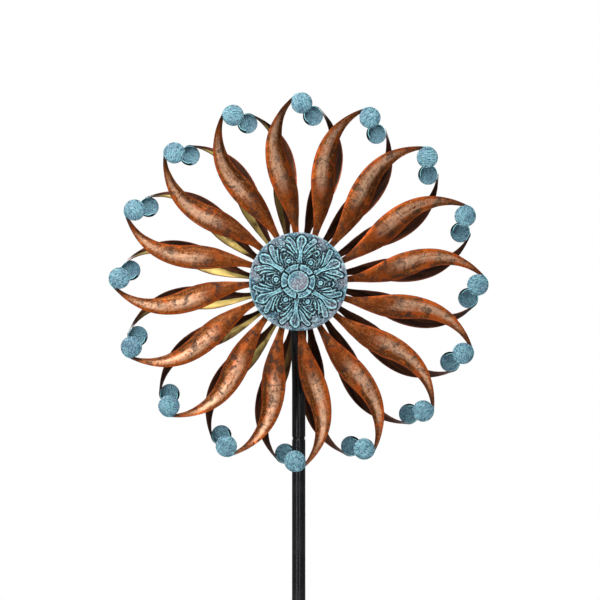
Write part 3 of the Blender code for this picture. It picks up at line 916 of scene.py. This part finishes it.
def around_the_axle():
    """Geometry tree: copies of a sheet or solid round the axle, each with its number, then hammered."""
    tree = bpy.data.node_groups.new("around_the_axle", "GeometryNodeTree")
    tree.interface.new_socket("Geometry", in_out="INPUT", socket_type="NodeSocketGeometry")
    for name, kind in (
        ("Count", "NodeSocketInt"),
        ("First Angle", "NodeSocketFloat"),
        ("Half Turn", "NodeSocketFloat"),
        ("Centre", "NodeSocketVector"),
        ("Dent Depth", "NodeSocketFloat"),
        ("Dent Spacing", "NodeSocketFloat"),
        ("Finish", "NodeSocketMaterial"),
    ):
        tree.interface.new_socket(name, in_out="INPUT", socket_type=kind)
    tree.interface.new_socket("Geometry", in_out="OUTPUT", socket_type="NodeSocketGeometry")
    graph = Graph(tree)
    given = tree.nodes.new("NodeGroupInput")
    take = {socket.name: Wire(graph, socket) for socket in given.outputs if socket.name}
    number = graph.node("GeometryNodeInputIndex")
    spots = graph.node("GeometryNodePoints", sockets={"Count": take["Count"], "Position": take["Centre"]})
    angle = number * math.tau / take["Count"] + take["First Angle"]
    turn = graph.node("ShaderNodeCombineXYZ", sockets={"Y": angle, "Z": take["Half Turn"]})
    copies = graph.node(
        "GeometryNodeInstanceOnPoints",
        sockets={"Points": spots, "Instance": take["Geometry"], "Rotation": turn},
    )
    numbered = graph.node(
        "GeometryNodeStoreNamedAttribute",
        {"data_type": "FLOAT", "domain": "INSTANCE"},
        {"Geometry": copies, "Name": "number", "Value": number},
    )
    solid = graph.node("GeometryNodeRealizeInstances", sockets={"Geometry": numbered})
    place = graph.node("GeometryNodeInputPosition")
    blows = graph.node(
        "ShaderNodeTexVoronoi",
        {"feature": "SMOOTH_F1"},
        {"Vector": place, "Scale": 1 / take["Dent Spacing"].maths("MAXIMUM", MM), "Smoothness": 0.12},
        "Distance",
    )
    uneven = {"Vector": place, "Scale": 38.0, "Detail": 1.0}
    swell = graph.node("ShaderNodeTexNoise", sockets=uneven, out="Fac")
    height = (blows * 1.6 + swell * 3.0 - 2.2) * take["Dent Depth"]
    normal = graph.node("GeometryNodeInputNormal")
    shift = graph.node("ShaderNodeVectorMath", {"operation": "SCALE"}, {"Vector": normal, "Scale": height})
    hammered = graph.node("GeometryNodeSetPosition", sockets={"Geometry": solid, "Offset": shift})
    final = graph.node("GeometryNodeSetMaterial", sockets={"Geometry": hammered, "Material": take["Finish"]})
    result = tree.nodes.new("NodeGroupOutput")
    graph.feed(result.inputs["Geometry"], final)
    return tree


RING_TREE = around_the_axle()


def ring_of(name, mesh, side, finish, count=BLADE_COUNT, dent_depth=0.0):
    """Plain mesh of one wheel's ring of copies of a drawn mesh."""
    form = add_piece(name, mesh)
    ring = form.modifiers.new("Ring", "NODES")
    ring.node_group = RING_TREE
    values = {
        "Count": count,
        "First Angle": FIRST_BLADE[side],
        "Half Turn": SIDES[side],
        "Centre": tuple(WHEEL_CENTRE),
        "Dent Depth": dent_depth,
        "Dent Spacing": DENT_SPACING,
        "Finish": finish,
    }
    for socket in RING_TREE.interface.items_tree:
        if socket.in_out == "INPUT" and socket.name in values:
            ring[socket.identifier] = values[socket.name]
    result = applied(form)
    result.materials.clear()
    return smoothed(result, 40)


def thickened(mesh, thickness, *materials):
    """Solid sheet whose face, back and edge each take one of the three materials."""
    form = add_piece("sheet", mesh, *materials)
    wall = form.modifiers.new("Wall", "SOLIDIFY")
    wall.thickness = thickness
    wall.offset = 0
    wall.material_offset = 1
    wall.material_offset_rim = 2
    return smoothed(applied(form), 40)


def along_blade(finish):
    """A vector that runs with the sheet: along it, then across it, in metres."""
    return finish.node(
        "ShaderNodeCombineXYZ", sockets={"X": finish.attribute("length"), "Y": finish.attribute("side")}
    )


def copper_face():
    """Copper wash over hammered steel: orange by one edge and turning brown towards the other edge as painted
    shade, pale beside the orange edge as rubbed wear with a painted highlight, and darker inside a crease as
    painted shade.
    """
    finish = Finish("hammered_copper", (0.30, 0.10, 0.035), 0.38, 0.65)
    finish.shader["Specular IOR Level"].default_value = 0.12
    place = finish.place()
    number = finish.attribute("number")
    spread = finish.attribute("spread")
    length = finish.attribute("length")
    tip = finish.attribute("tip")
    edge = abs(spread)
    streaks = finish.noise(finish.stretched(along_blade(finish), (22, 170, 1)), 1.0, 7.0, number, 0.6)
    scratches = finish.noise(finish.stretched(along_blade(finish), (90, 800, 1)), 1.0, 3.0, number)
    broad = finish.noise(place, 20.0, 4.0, warp=0.8)
    blotch = finish.noise(place, 75.0, 8.0, warp=0.5)
    specks = finish.noise(place, 330.0, 4.0)
    cells = {"Vector": place, "Scale": 1 / DENT_SPACING, "Smoothness": 0.1}
    dents = finish.node("ShaderNodeTexVoronoi", {"feature": "SMOOTH_F1"}, cells, "Distance")

    # Painted shade: each blade turns from orange on one edge to dark brown on the side that tilts away from
    # the lights.
    across = (spread + streaks * 0.9).between(-0.2, 1.0)
    colour = finish.mix(across, (0.36, 0.082, 0.007), (0.125, 0.032, 0.004))
    colour = finish.mix(broad.between(0.42, 0.60) * 0.5, colour, (0.085, 0.024, 0.007))
    colour = finish.mix(streaks.between(0.46, 0.66) * 0.50, colour, (0.56, 0.19, 0.048))
    colour = finish.mix(specks.between(0.52, 0.40) * 0.6, colour, (0.055, 0.015, 0.004))
    colour = finish.mix(specks.between(0.56, 0.68) * 0.3, colour, (0.62, 0.30, 0.13))
    rust = finish.noise(place, 46.0, 5.0, warp=0.4).between(0.53, 0.62)
    colour = finish.mix(rust * 0.6, colour, (0.44, 0.075, 0.007))
    # Painted shade: each blade is darker on the hub side of its crease, where the slope turns away from the
    # light.
    crease = length + spread * spread * 0.006 + (number * 0.618).maths("FRACT") * 0.016 - 0.142
    colour = finish.mix(crease.between(0.002, -0.002) * 0.5, colour, (0.13, 0.028, 0.006))
    # The pale band is partly rubbed wear and partly a painted highlight, along the part of each blade that
    # faces the front lights.
    band = spread.between(-0.75, -0.35) * spread.between(0.40, -0.05)
    wear_and_highlight_band = length.between(0.105, 0.150) * length.between(0.262, 0.215) * band
    rub_and_sheen_patches = (streaks * 0.5 + specks * 0.3 + blotch * 0.4).between(0.42, 0.66)
    colour = finish.mix(wear_and_highlight_band * rub_and_sheen_patches * 0.75, colour, (0.64, 0.39, 0.25))
    colour = finish.mix(edge.between(0.74, 0.92) * 0.6, colour, (0.42, 0.070, 0.010))
    dark = blotch.between(0.53, 0.63) * (specks.between(0.35, 0.6) * 0.6 + 0.4)
    seam = abs(spread + 0.78).between(0.14, 0.02) * streaks.between(0.50, 0.60) * 0.8
    dark = dark.maths("MAXIMUM", seam).maths("MAXIMUM", (1 - scratches.between(0.30, 0.42)) * 0.6)
    # Painted shade: a dark line along the crease on some of the blades.
    plain = (number * 0.381).maths("FRACT").between(0.3, 0.7)
    dark = dark.maths("MAXIMUM", abs(crease).between(0.0014, 0.0004) * plain * 0.6)
    dark = dark.maths("MAXIMUM", tip * (streaks * 0.5 + 0.45))
    colour = finish.mix(dark * 0.85, colour, (0.024, 0.015, 0.011))
    colour = finish.mix(edge.between(0.94, 1.0) * 0.75, colour, (0.04, 0.012, 0.007))
    painted = tip.between(0.94, 1.0)
    finish.feed(finish.shader["Base Color"], finish.mix(painted, colour, (0.060, 0.16, 0.20)))
    finish.feed(finish.shader["Roughness"], streaks * 0.20 + specks * 0.14 + dark * 0.2 + 0.29)
    finish.feed(finish.shader["Metallic"], (0.62 - dark * 0.45) * (1 - painted))
    finish.bump(dents + streaks * 0.30 + specks * 0.10 + scratches * 0.05, 1.0 * MM, 0.42)
    return finish.material


def dark_back_lit_bronze():
    """The cupped backs: nearly black, with painted bronze light down one half of the blades on the left of
    the wheels, and painted shade inside each curl.
    """
    finish = Finish("dark_back_lit_bronze", (0.10, 0.04, 0.015), 0.42, 0.75)
    finish.shader["Specular IOR Level"].default_value = 0.3
    place = finish.place()
    spread = finish.attribute("spread")
    tip = finish.attribute("tip")
    number = finish.attribute("number")
    streaks = finish.noise(finish.stretched(along_blade(finish), (14, 160, 1)), 1.0, 5.0, number)
    clouds = finish.noise(place, 24.0, 4.0, warp=0.6)
    x, z = place.split()[::2]
    length = finish.attribute("length")
    # Painted light: bronze on one half of the left-hand blades, where they catch the lights, left dark
    # further out on the blades below the axle.
    half = (spread + streaks * 0.5).between(0.30, 0.46) * length.between(0.27, 0.23)
    unlit_outer_low = length.between(0.14, 0.18) * (z - WHEEL_CENTRE.z).between(0.0, -0.08)
    painted_bronze_light = (x * -1).between(0.0, 0.08) * half * (1 - unlit_outer_low) * clouds.between(0.30, 0.50) * 0.85
    colour = finish.mix(streaks.between(0.38, 0.7), (0.016, 0.006, 0.003), (0.085, 0.024, 0.008))
    colour = finish.mix(painted_bronze_light, colour, (0.56, 0.42, 0.13))
    colour = finish.mix(abs(spread).between(0.86, 0.96) * 0.7, colour, (0.22, 0.05, 0.016))
    # The curl's back is teal paint darkened almost to black as painted shade inside the curl.
    painted = tip.between(0.94, 1.0)
    finish.feed(finish.shader["Base Color"], finish.mix(painted, colour, (0.012, 0.030, 0.038)))
    finish.feed(finish.shader["Roughness"], streaks * 0.3 + 0.24)
    finish.feed(finish.shader["Metallic"], 0.75 - painted * 0.75)
    finish.bump(streaks + clouds, 0.3 * MM, 0.5)
    return finish.material


def worn_and_lit_edge():
    """Sheared edge of the sheet: dark, rubbed back to copper in places, teal paint near the cap, and pale
    blue-green along the curl as a painted highlight.
    """
    finish = Finish("copper_edge", (0.20, 0.06, 0.03), 0.4, 0.5)
    finish.shader["Specular IOR Level"].default_value = 0.3
    tip = finish.attribute("tip")
    wear = finish.noise(finish.place(), 140.0, 4.0)
    colour = finish.mix(wear.between(0.45, 0.66) * (1 - tip), (0.030, 0.010, 0.006), (0.34, 0.085, 0.028))
    colour = finish.mix(tip.between(0.94, 1.0), colour, (0.12, 0.34, 0.38))
    # Painted highlight: the curl's edge turns pale blue-green over its teal paint.
    finish.feed(finish.shader["Base Color"], finish.mix(finish.attribute("curl"), colour, (0.28, 0.66, 0.70)))
    finish.feed(finish.shader["Metallic"], 0.5 - tip.between(0.94, 1.0) * 0.5)
    return finish.material


sheet_mesh = blade_sheet()
blade_finishes = [copper_face(), dark_back_lit_bronze(), worn_and_lit_edge()]
for side in SIDES:
    wheel = ring_of(f"{side}_ring", sheet_mesh, side, blade_finishes[0], dent_depth=DENT_DEPTH)
    wheel = thickened(wheel, BLADE_SHEET, *blade_finishes)
    nodes = [f"{side}_blade_{number:02d}" for number in range(1, BLADE_COUNT + 1)]
    finished(f"{side}_blades", wheel, f"{side}_rotor", "copper_patina", nodes)


# ---------------------------------------------------------------- rivets and bearing balls
# Two domed steel rivets, upset behind the plate, hold each blade's root to it. Eight hardened balls run
# between each pair of bearing rings.

RIVET_RADIUS = 2.3 * MM
RIVET_RISE = 1.3 * MM
RIVET_PLACES = (37.0 * MM, 42.6 * MM)  # from the axle


def rivets():
    """Heads in front of the blade and upset tails behind the plate, with the shank between."""
    head = ROOT_OUT + BLADE_SHEET / 2 + 0.2 * MM
    tail = PLATE_OUT - 2 * MM
    line = [
        (0, head + RIVET_RISE), (RIVET_RADIUS * 0.5, head + RIVET_RISE * 0.85),
        (RIVET_RADIUS * 0.87, head + RIVET_RISE * 0.45), (RIVET_RADIUS, head), (RIVET_RADIUS * 0.5, head),
        (RIVET_RADIUS * 0.5, tail), (RIVET_RADIUS * 0.8, tail), (RIVET_RADIUS * 0.7, tail - 0.8 * MM),
        (0, tail - 0.9 * MM),
    ]
    pair = []
    for place in RIVET_PLACES:
        rivet = turned(line, 12, closed=False)
        rivet.transform(Matrix.Translation((place, 0, 0)) @ Matrix.Rotation(math.radians(90), 4, "X"))
        pair.append(rivet)
    return joined(*pair)


def balls(side):
    build = bmesh.new()
    inner_track = reach(f"{side}_bearing_1_inner_ring")[2]
    outer_track = reach(f"{side}_bearing_1_outer_ring")[2] - RING_WALL
    track = (inner_track + outer_track) / 2
    for number in (1, 2):
        low, high = reach(f"{side}_bearing_{number}_outer_ring")[:2]
        place = Matrix.Translation((track, -(low + high) / 2, 0))
        bmesh.ops.create_icosphere(build, subdivisions=2, radius=1.75 * MM, matrix=place)
    mesh = bpy.data.meshes.new("balls")
    build.to_mesh(mesh)
    build.free()
    return mesh


for side in SIDES:
    rotor = f"{side}_rotor"
    rivet_ring = ring_of(f"{side}_rivets", rivets(), side, zinc)
    finished(f"{side}_blade_rivets", rivet_ring, rotor, "zinc_steel", [], zinc)
    ball_ring = ring_of(f"{side}_bearing_balls", balls(side), side, ground_steel, count=BALL_COUNT)
    finished(f"{side}_bearing_balls", ball_ring, rotor, "bearing_steel", [], ground_steel)


# ---------------------------------------------------------------- tip caps
# A shallow domed disc is welded over the curl of each blade's tip, facing out along the axle. Disc and
# curl are brushed by hand with pale blue-green over a darker coat, each in its own direction.

CAP_SHEET = 1 * MM
CAP_RISE = 2.5 * MM
CAP_STEPS = 56


def cap():
    """Domed disc with a rounded rim."""
    rim = CAP_OUT + CAP_SHEET
    dome = [(CAP_RADIUS * share, rim + CAP_RISE * (1 - share**2)) for share in np.linspace(0, 0.96, 10)]
    edge = [(CAP_RADIUS - 0.2 * MM, rim), (CAP_RADIUS, rim - 0.35 * MM), (CAP_RADIUS, CAP_OUT + 0.3 * MM)]
    hollow = [(radius, height - CAP_SHEET) for radius, height in dome]
    mesh = turned([*dome, *edge, (CAP_RADIUS - 0.3 * MM, CAP_OUT), *hollow[::-1]], CAP_STEPS, closed=False)
    mesh.transform(Matrix.Translation((CAP_CIRCLE, 0, 0)) @ Matrix.Rotation(math.radians(90), 4, "X"))
    points = np.zeros(len(mesh.vertices) * 3)
    mesh.vertices.foreach_get("co", points)
    points = points.reshape(-1, 3) - (CAP_CIRCLE, -CAP_OUT, 0)
    own = mesh.attributes.new("across", "FLOAT_VECTOR", "POINT")
    own.data.foreach_set("vector", points.astype(np.float32).ravel())
    return mesh


def brushed_teal():
    """Pale blue-green dragged over a darker blue coat, with dark flecks, painted shade towards the rim and on
    the back, and a painted shadow in the gap under each curl.
    """
    finish = Finish("brushed_teal", (0.12, 0.28, 0.33), 0.5, 0.1)
    finish.shader["Specular IOR Level"].default_value = 0.25
    place = finish.place()
    number = finish.attribute("number")
    local = finish.node("ShaderNodeAttribute", {"attribute_name": "across"}, out="Vector")
    turn = finish.node("ShaderNodeCombineXYZ", sockets={"Y": number * 2.4})
    swept = finish.node(
        "ShaderNodeVectorRotate", {"rotation_type": "EULER_XYZ"}, {"Vector": local, "Rotation": turn}
    )
    strokes = finish.noise(finish.stretched(swept, (170, 300, 900)), 1.0, 4.0, number, 0.4)
    clouds = finish.noise(place, 60.0, 4.0, warp=0.5)
    grain = finish.noise(place, 620.0, 3.0)
    radius = local.length()
    colour = finish.mix(strokes.between(0.36, 0.60), (0.024, 0.078, 0.118), (0.210, 0.450, 0.520))
    colour = finish.mix(clouds.between(0.46, 0.66) * 0.6, colour, (0.048, 0.115, 0.180))
    colour = finish.mix(grain.between(0.54, 0.68) * 0.6, colour, (0.46, 0.57, 0.65))
    colour = finish.mix(grain.between(0.44, 0.32) * 0.7, colour, (0.012, 0.036, 0.055))
    # Painted shade: the disc darkens towards its rim, as a dome does when lit from the front.
    rim = radius.between(CAP_RADIUS * 0.70, CAP_RADIUS) * 0.6
    colour = finish.mix(rim * (1 - grain.between(0.45, 0.60)), colour, (0.022, 0.070, 0.095))
    # Painted shade: the back of the disc, inside the curl, is darker.
    y, z = local.split()[1:]
    back = (y + (1 - (radius / CAP_RADIUS) * (radius / CAP_RADIUS)) * CAP_RISE).between(-0.6 * MM, -0.4 * MM)
    colour = finish.mix(back * 0.4, colour, (0.025, 0.075, 0.115))
    # Painted shadow: a black crescent on the back near the rim, on one side of each cap, in the gap between
    # the curl's end and the disc.
    below = z.between(-0.25 * CAP_RADIUS, -0.45 * CAP_RADIUS)
    gap = back * radius.between(CAP_RADIUS * 0.82, CAP_RADIUS * 0.86) * below
    finish.feed(finish.shader["Base Color"], finish.mix(gap * 0.95, colour, (0.002, 0.005, 0.007)))
    finish.feed(finish.shader["Roughness"], strokes * 0.25 + 0.33)
    finish.bump(strokes + grain * 0.4, 0.2 * MM, 0.6)
    return finish.material


teal = brushed_teal()
for side in SIDES:
    caps = ring_of(f"{side}_tip_caps", cap(), side, teal)
    finished(f"{side}_tip_caps", caps, f"{side}_rotor", "teal_patina", [], teal)


# ---------------------------------------------------------------- medallions
# A cover cast in thin metal hides each hub: a hammered boss, six pads, six fluted leaves with curled
# fronds between them, and a rolled rim. It is painted blue-green, then wiped so the high lines are pale.

RELIEF = 1.0 * MM  # height of the raised lines
RELIEF_ROWS = 116
RELIEF_STEPS = 600
LEAVES = 6
FIRST_LEAF = math.radians(25.5)
LINE = 0.0125  # half width of a raised line, as a share of the radius, like all that follow
GROOVE = 0.032
BOSS = 0.212
PADS = (0.228, 0.345)
BEND_RADIUS = 49 * MM
COVER_SHEET = 2 * MM
COVER_FLANGE = 6 * MM
COLLAR_WALL = 2 * MM
# Fronds beside each leaf: three points of a curve as (along the leaf, away from it), and half widths
FRONDS = (
    ((0.395, 0.095), (0.445, 0.165), (0.520, 0.265), (0.008, 0.017, 0.007)),
    ((0.430, 0.080), (0.530, 0.135), (0.605, 0.270), (0.008, 0.018, 0.008)),
    ((0.480, 0.070), (0.610, 0.120), (0.720, 0.300), (0.010, 0.022, 0.013)),
    ((0.540, 0.060), (0.700, 0.095), (0.840, 0.262), (0.012, 0.046, 0.050)),
)
LEAF_OUTLINE = ((0.34, 0.060), (0.42, 0.040), (0.52, 0.034), (0.62, 0.038), (0.70, 0.062), (0.77, 0.095),
                (0.83, 0.104), (0.88, 0.088), (0.92, 0.050), (0.945, 0.0))


def far_from(x, y, curve, widths):
    """Signed distance from a tapering stroke along a curve of three points."""
    t = np.linspace(0, 1, 22)
    (x0, y0), (x1, y1), (x2, y2) = curve
    line_x = (1 - t) ** 2 * x0 + 2 * t * (1 - t) * x1 + t**2 * x2
    line_y = (1 - t) ** 2 * y0 + 2 * t * (1 - t) * y1 + t**2 * y2
    half = np.interp(t, (0, 0.5, 1), widths)
    return np.min([np.hypot(x - a, y - b) - h for a, b, h in zip(line_x, line_y, half)], axis=0)


def stamped(height, distance, inside, line=1.0):
    """Press a shape into the relief: a groove round it, a raised outline and a floor inside."""
    mask = 1 - ease((distance - GROOVE * 0.8) / (GROOVE * 0.5))
    edge = line * np.exp(-((distance + LINE) / (LINE * 0.85)) ** 2)
    groove = -1.3 * np.exp(-((distance - GROOVE * 0.50) / (GROOVE * 0.42)) ** 2)
    floor = inside * ease((-distance - LINE) / LINE)
    return height * (1 - mask) + (edge + groove + floor) * mask


def relief(radius, angle):
    """Height of the pattern, from about -1 in the grooves to 1 on the lines, at points of the disc."""
    sector = math.tau / LEAVES
    folded = (angle - FIRST_LEAF + sector / 2) % sector - sector / 2
    folded = folded + 0.010 * np.sin(radius * 21 + angle * 2) * ease((radius - 0.3) / 0.2)
    x = radius * np.cos(folded) + 0.004 * np.sin(angle * 17)
    y = np.abs(radius * np.sin(folded))
    half_x, half_y = math.cos(sector / 2), math.sin(sector / 2)
    along = x * half_x + y * half_y  # along the line between two leaves
    aside = np.abs(y * half_x - x * half_y)
    height = 0.10 * np.sin(radius * 260 + 3 * np.sin(angle * 9)) * np.cos(angle * 31 + radius * 90)
    bud = np.hypot((along - 0.835) / 0.085, aside / 0.100) - 1
    height = np.where(bud < 0.0, 0.16 * np.sin(aside * 190) - 0.12 + 0.2 * bud, height)
    height = height - 0.55 * np.exp(-((bud - 0.06) / 0.09) ** 2)
    for place, spread in ((0.705, 0.085), (0.615, 0.070)):
        chevron = far_from(along, aside, ((place + 0.02, 0.0), (place, spread / 2), (place - 0.045, spread)),
                           (0.016, 0.013, 0.006))
        height = stamped(height, chevron, 0.3, 0.8)
    for start, middle, end, widths in FRONDS:
        frond = far_from(x, y, (start, middle, end), widths)
        vein = np.exp(-((frond + max(widths)) / 0.010) ** 2) * 0.35
        height = stamped(height, frond, -0.35 + vein)
    eye = np.hypot(along - 0.452, aside)
    height = stamped(height, eye - 0.090, 0.1, 0.9)
    height = stamped(height, eye - 0.046, 0.05, 0.85)
    half = np.interp(x, *zip(*LEAF_OUTLINE))
    leaf = np.maximum(y - half, np.maximum(0.33 - x, x - 0.945))
    leaf = np.where(x > 0.80, np.maximum(np.hypot((x - 0.835) / 1.05, y) - 0.105, leaf * 0.6), leaf)
    vein = 0.75 * np.exp(-(y / 0.011) ** 2) * ease((0.86 - x) / 0.1)
    flute = -0.35 * np.exp(-((y - 0.024) / 0.012) ** 2)
    height = stamped(height, leaf, -0.18 + vein + flute)
    pad_middle = (PADS[0] + PADS[1]) / 2
    across = np.abs(radius - pad_middle) - (PADS[1] - PADS[0]) / 2
    gap = (sector / 2 - np.abs((angle - FIRST_LEAF) % sector - sector / 2)) * radius
    pad = np.maximum(across, 0.022 - gap)
    height = stamped(height, pad, -0.02)
    rim = (0.55 + 0.2 * np.sin(angle * 2 + 1.0)) * np.exp(-((radius - 0.988) / 0.010) ** 2)
    height = height * (1 - ease((radius - 0.95) / 0.02)) + rim
    boss = radius - BOSS
    dents = 0.25 * np.cos(radius * np.cos(angle) * 95 + 1.0) * np.cos(radius * np.sin(angle) * 88)
    ring_line = 0.35 * np.exp(-((radius - 0.075) / 0.012) ** 2)
    return stamped(height, boss, 0.1 + dents + ring_line, 0.9)


def medallion(side):
    """The cover: patterned face, rim turned back, plain inside, and the collar that grips the barrel."""
    collar_end, top, outer = reach(f"{side}_medallion")
    barrel = reach(f"{side}_hub")[2] + TOUCH
    face = top - 3 * MM  # the flat level that the boss rises from
    radii = np.concatenate(([0], np.linspace(0.03, 0.985, RELIEF_ROWS - 2), [1.0]))
    angles = np.arange(RELIEF_STEPS) * math.tau / RELIEF_STEPS
    radius, angle = np.meshgrid(radii, angles, indexing="ij")
    pattern = relief(radius, angle)
    pattern[0] = pattern[0].mean()
    levels = (
        (0, face + 2.2 * MM), (BOSS * 0.6, face + 1.7 * MM), (BOSS, face + 0.1 * MM), (0.26, face - 0.1 * MM),
        (BEND_RADIUS / outer, face - 1.0 * MM), (0.975, face - 3.4 * MM), (1.0, face - 4.4 * MM),
    )
    height = np.interp(radius, *zip(*levels)) + RELIEF * 0.8 * pattern * (1 - ease((radius - 0.985) / 0.015))
    x = radius * outer * np.cos(angle)
    y = radius * outer * np.sin(angle)
    points = np.stack([x, y, height], axis=-1)
    rows = [points[row] for row in range(RELIEF_ROWS)]
    shades = [pattern[row] for row in range(RELIEF_ROWS)]
    sheet = COVER_SHEET
    rim_back = face - 3.5 * MM - COVER_FLANGE
    back = (
        (outer, rim_back + 0.5 * MM), (outer - 0.5 * MM, rim_back), (outer - sheet + 0.5 * MM, rim_back),
        (outer - sheet, rim_back + 0.5 * MM), (outer - sheet, face - 3.5 * MM - sheet),
        (BEND_RADIUS, face - sheet - 1.0 * MM), (barrel + COLLAR_WALL, face - sheet),
        (barrel + COLLAR_WALL, collar_end), (barrel, collar_end), (barrel, face - sheet), (0, face - sheet),
    )
    for ring_radius, ring_height in back:
        ring_x, ring_y = ring_radius * np.cos(angles), ring_radius * np.sin(angles)
        rows.append(np.stack([ring_x, ring_y, np.full(RELIEF_STEPS, ring_height)], axis=-1))
        shades.append(np.full(RELIEF_STEPS, -0.2))
    mesh = bpy.data.meshes.new("medallion")
    count = RELIEF_STEPS
    last = len(rows) - 1
    vertices = [tuple(rows[0][0])] + [tuple(p) for row in rows[1:last] for p in row] + [tuple(rows[last][0])]
    tones = np.concatenate(([shades[0][0]], *shades[1:last], [shades[last][0]]))
    faces = [(0, 1 + i, 1 + (i + 1) % count) for i in range(count)]
    for row in range(last - 2):
        near, far = 1 + row * count, 1 + (row + 1) * count
        faces += [(near + i, far + i, far + (i + 1) % count, near + (i + 1) % count) for i in range(count)]
    end, near = len(vertices) - 1, 1 + (last - 2) * count
    faces += [(near + i, end, near + (i + 1) % count) for i in range(count)]
    mesh.from_pydata(vertices, [], faces)
    mesh.attributes.new("relief", "FLOAT", "POINT").data.foreach_set("value", tones.astype(np.float32))
    centred = np.hypot(*np.array(vertices)[:, :2].T) / outer
    mesh.attributes.new("radius", "FLOAT", "POINT").data.foreach_set("value", centred.astype(np.float32))
    return put(smoothed(mesh, 60), side)


def wiped_teal():
    """Blue-green paint, black in the grooves, violet-grey where worn thin and pale on every raised line."""
    finish = Finish("wiped_teal", (0.12, 0.22, 0.26), 0.5)
    finish.shader["Specular IOR Level"].default_value = 0.15
    place = finish.place()
    height = finish.attribute("relief")
    radius = finish.attribute("radius")
    grain = finish.noise(place, 420.0, 5.0)
    cloud = finish.noise(place, 42.0, 5.0, warp=0.6)
    level = height + grain * 1.6 - 0.8
    bare = radius.between(BOSS + 0.02, BOSS - 0.02).maths("MAXIMUM", radius.between(0.60, 0.95) * 0.8)
    ground = finish.mix(cloud.between(0.38, 0.60), (0.165, 0.310, 0.370), (0.060, 0.135, 0.185))
    ground = finish.mix(bare * cloud.between(0.60, 0.42), ground, (0.230, 0.210, 0.260))
    colour = finish.mix(level.between(-0.02, -0.60), ground, (0.002, 0.005, 0.007))
    colour = finish.mix(level.between(0.15, 0.90), colour, (0.32, 0.68, 0.73))
    colour = finish.mix(level.between(0.90, 1.40) * 0.7, colour, (0.62, 0.92, 0.94))
    speck = finish.noise(place, 330.0, 2.0)
    colour = finish.mix(speck.between(0.45, 0.34) * 0.55, colour, (0.010, 0.026, 0.034))
    colour = finish.mix(speck.between(0.55, 0.68) * 0.6, colour, (0.45, 0.74, 0.79))
    finish.feed(finish.shader["Base Color"], colour)
    finish.feed(finish.shader["Roughness"], grain * 0.25 + 0.36)
    finish.bump(grain, 0.3 * MM, 0.6)
    return finish.material


wiped = wiped_teal()
for side in SIDES:
    cover = medallion(side)
    finished(f"{side}_cover", cover, f"{side}_rotor", "teal_patina", [f"{side}_medallion"], wiped)
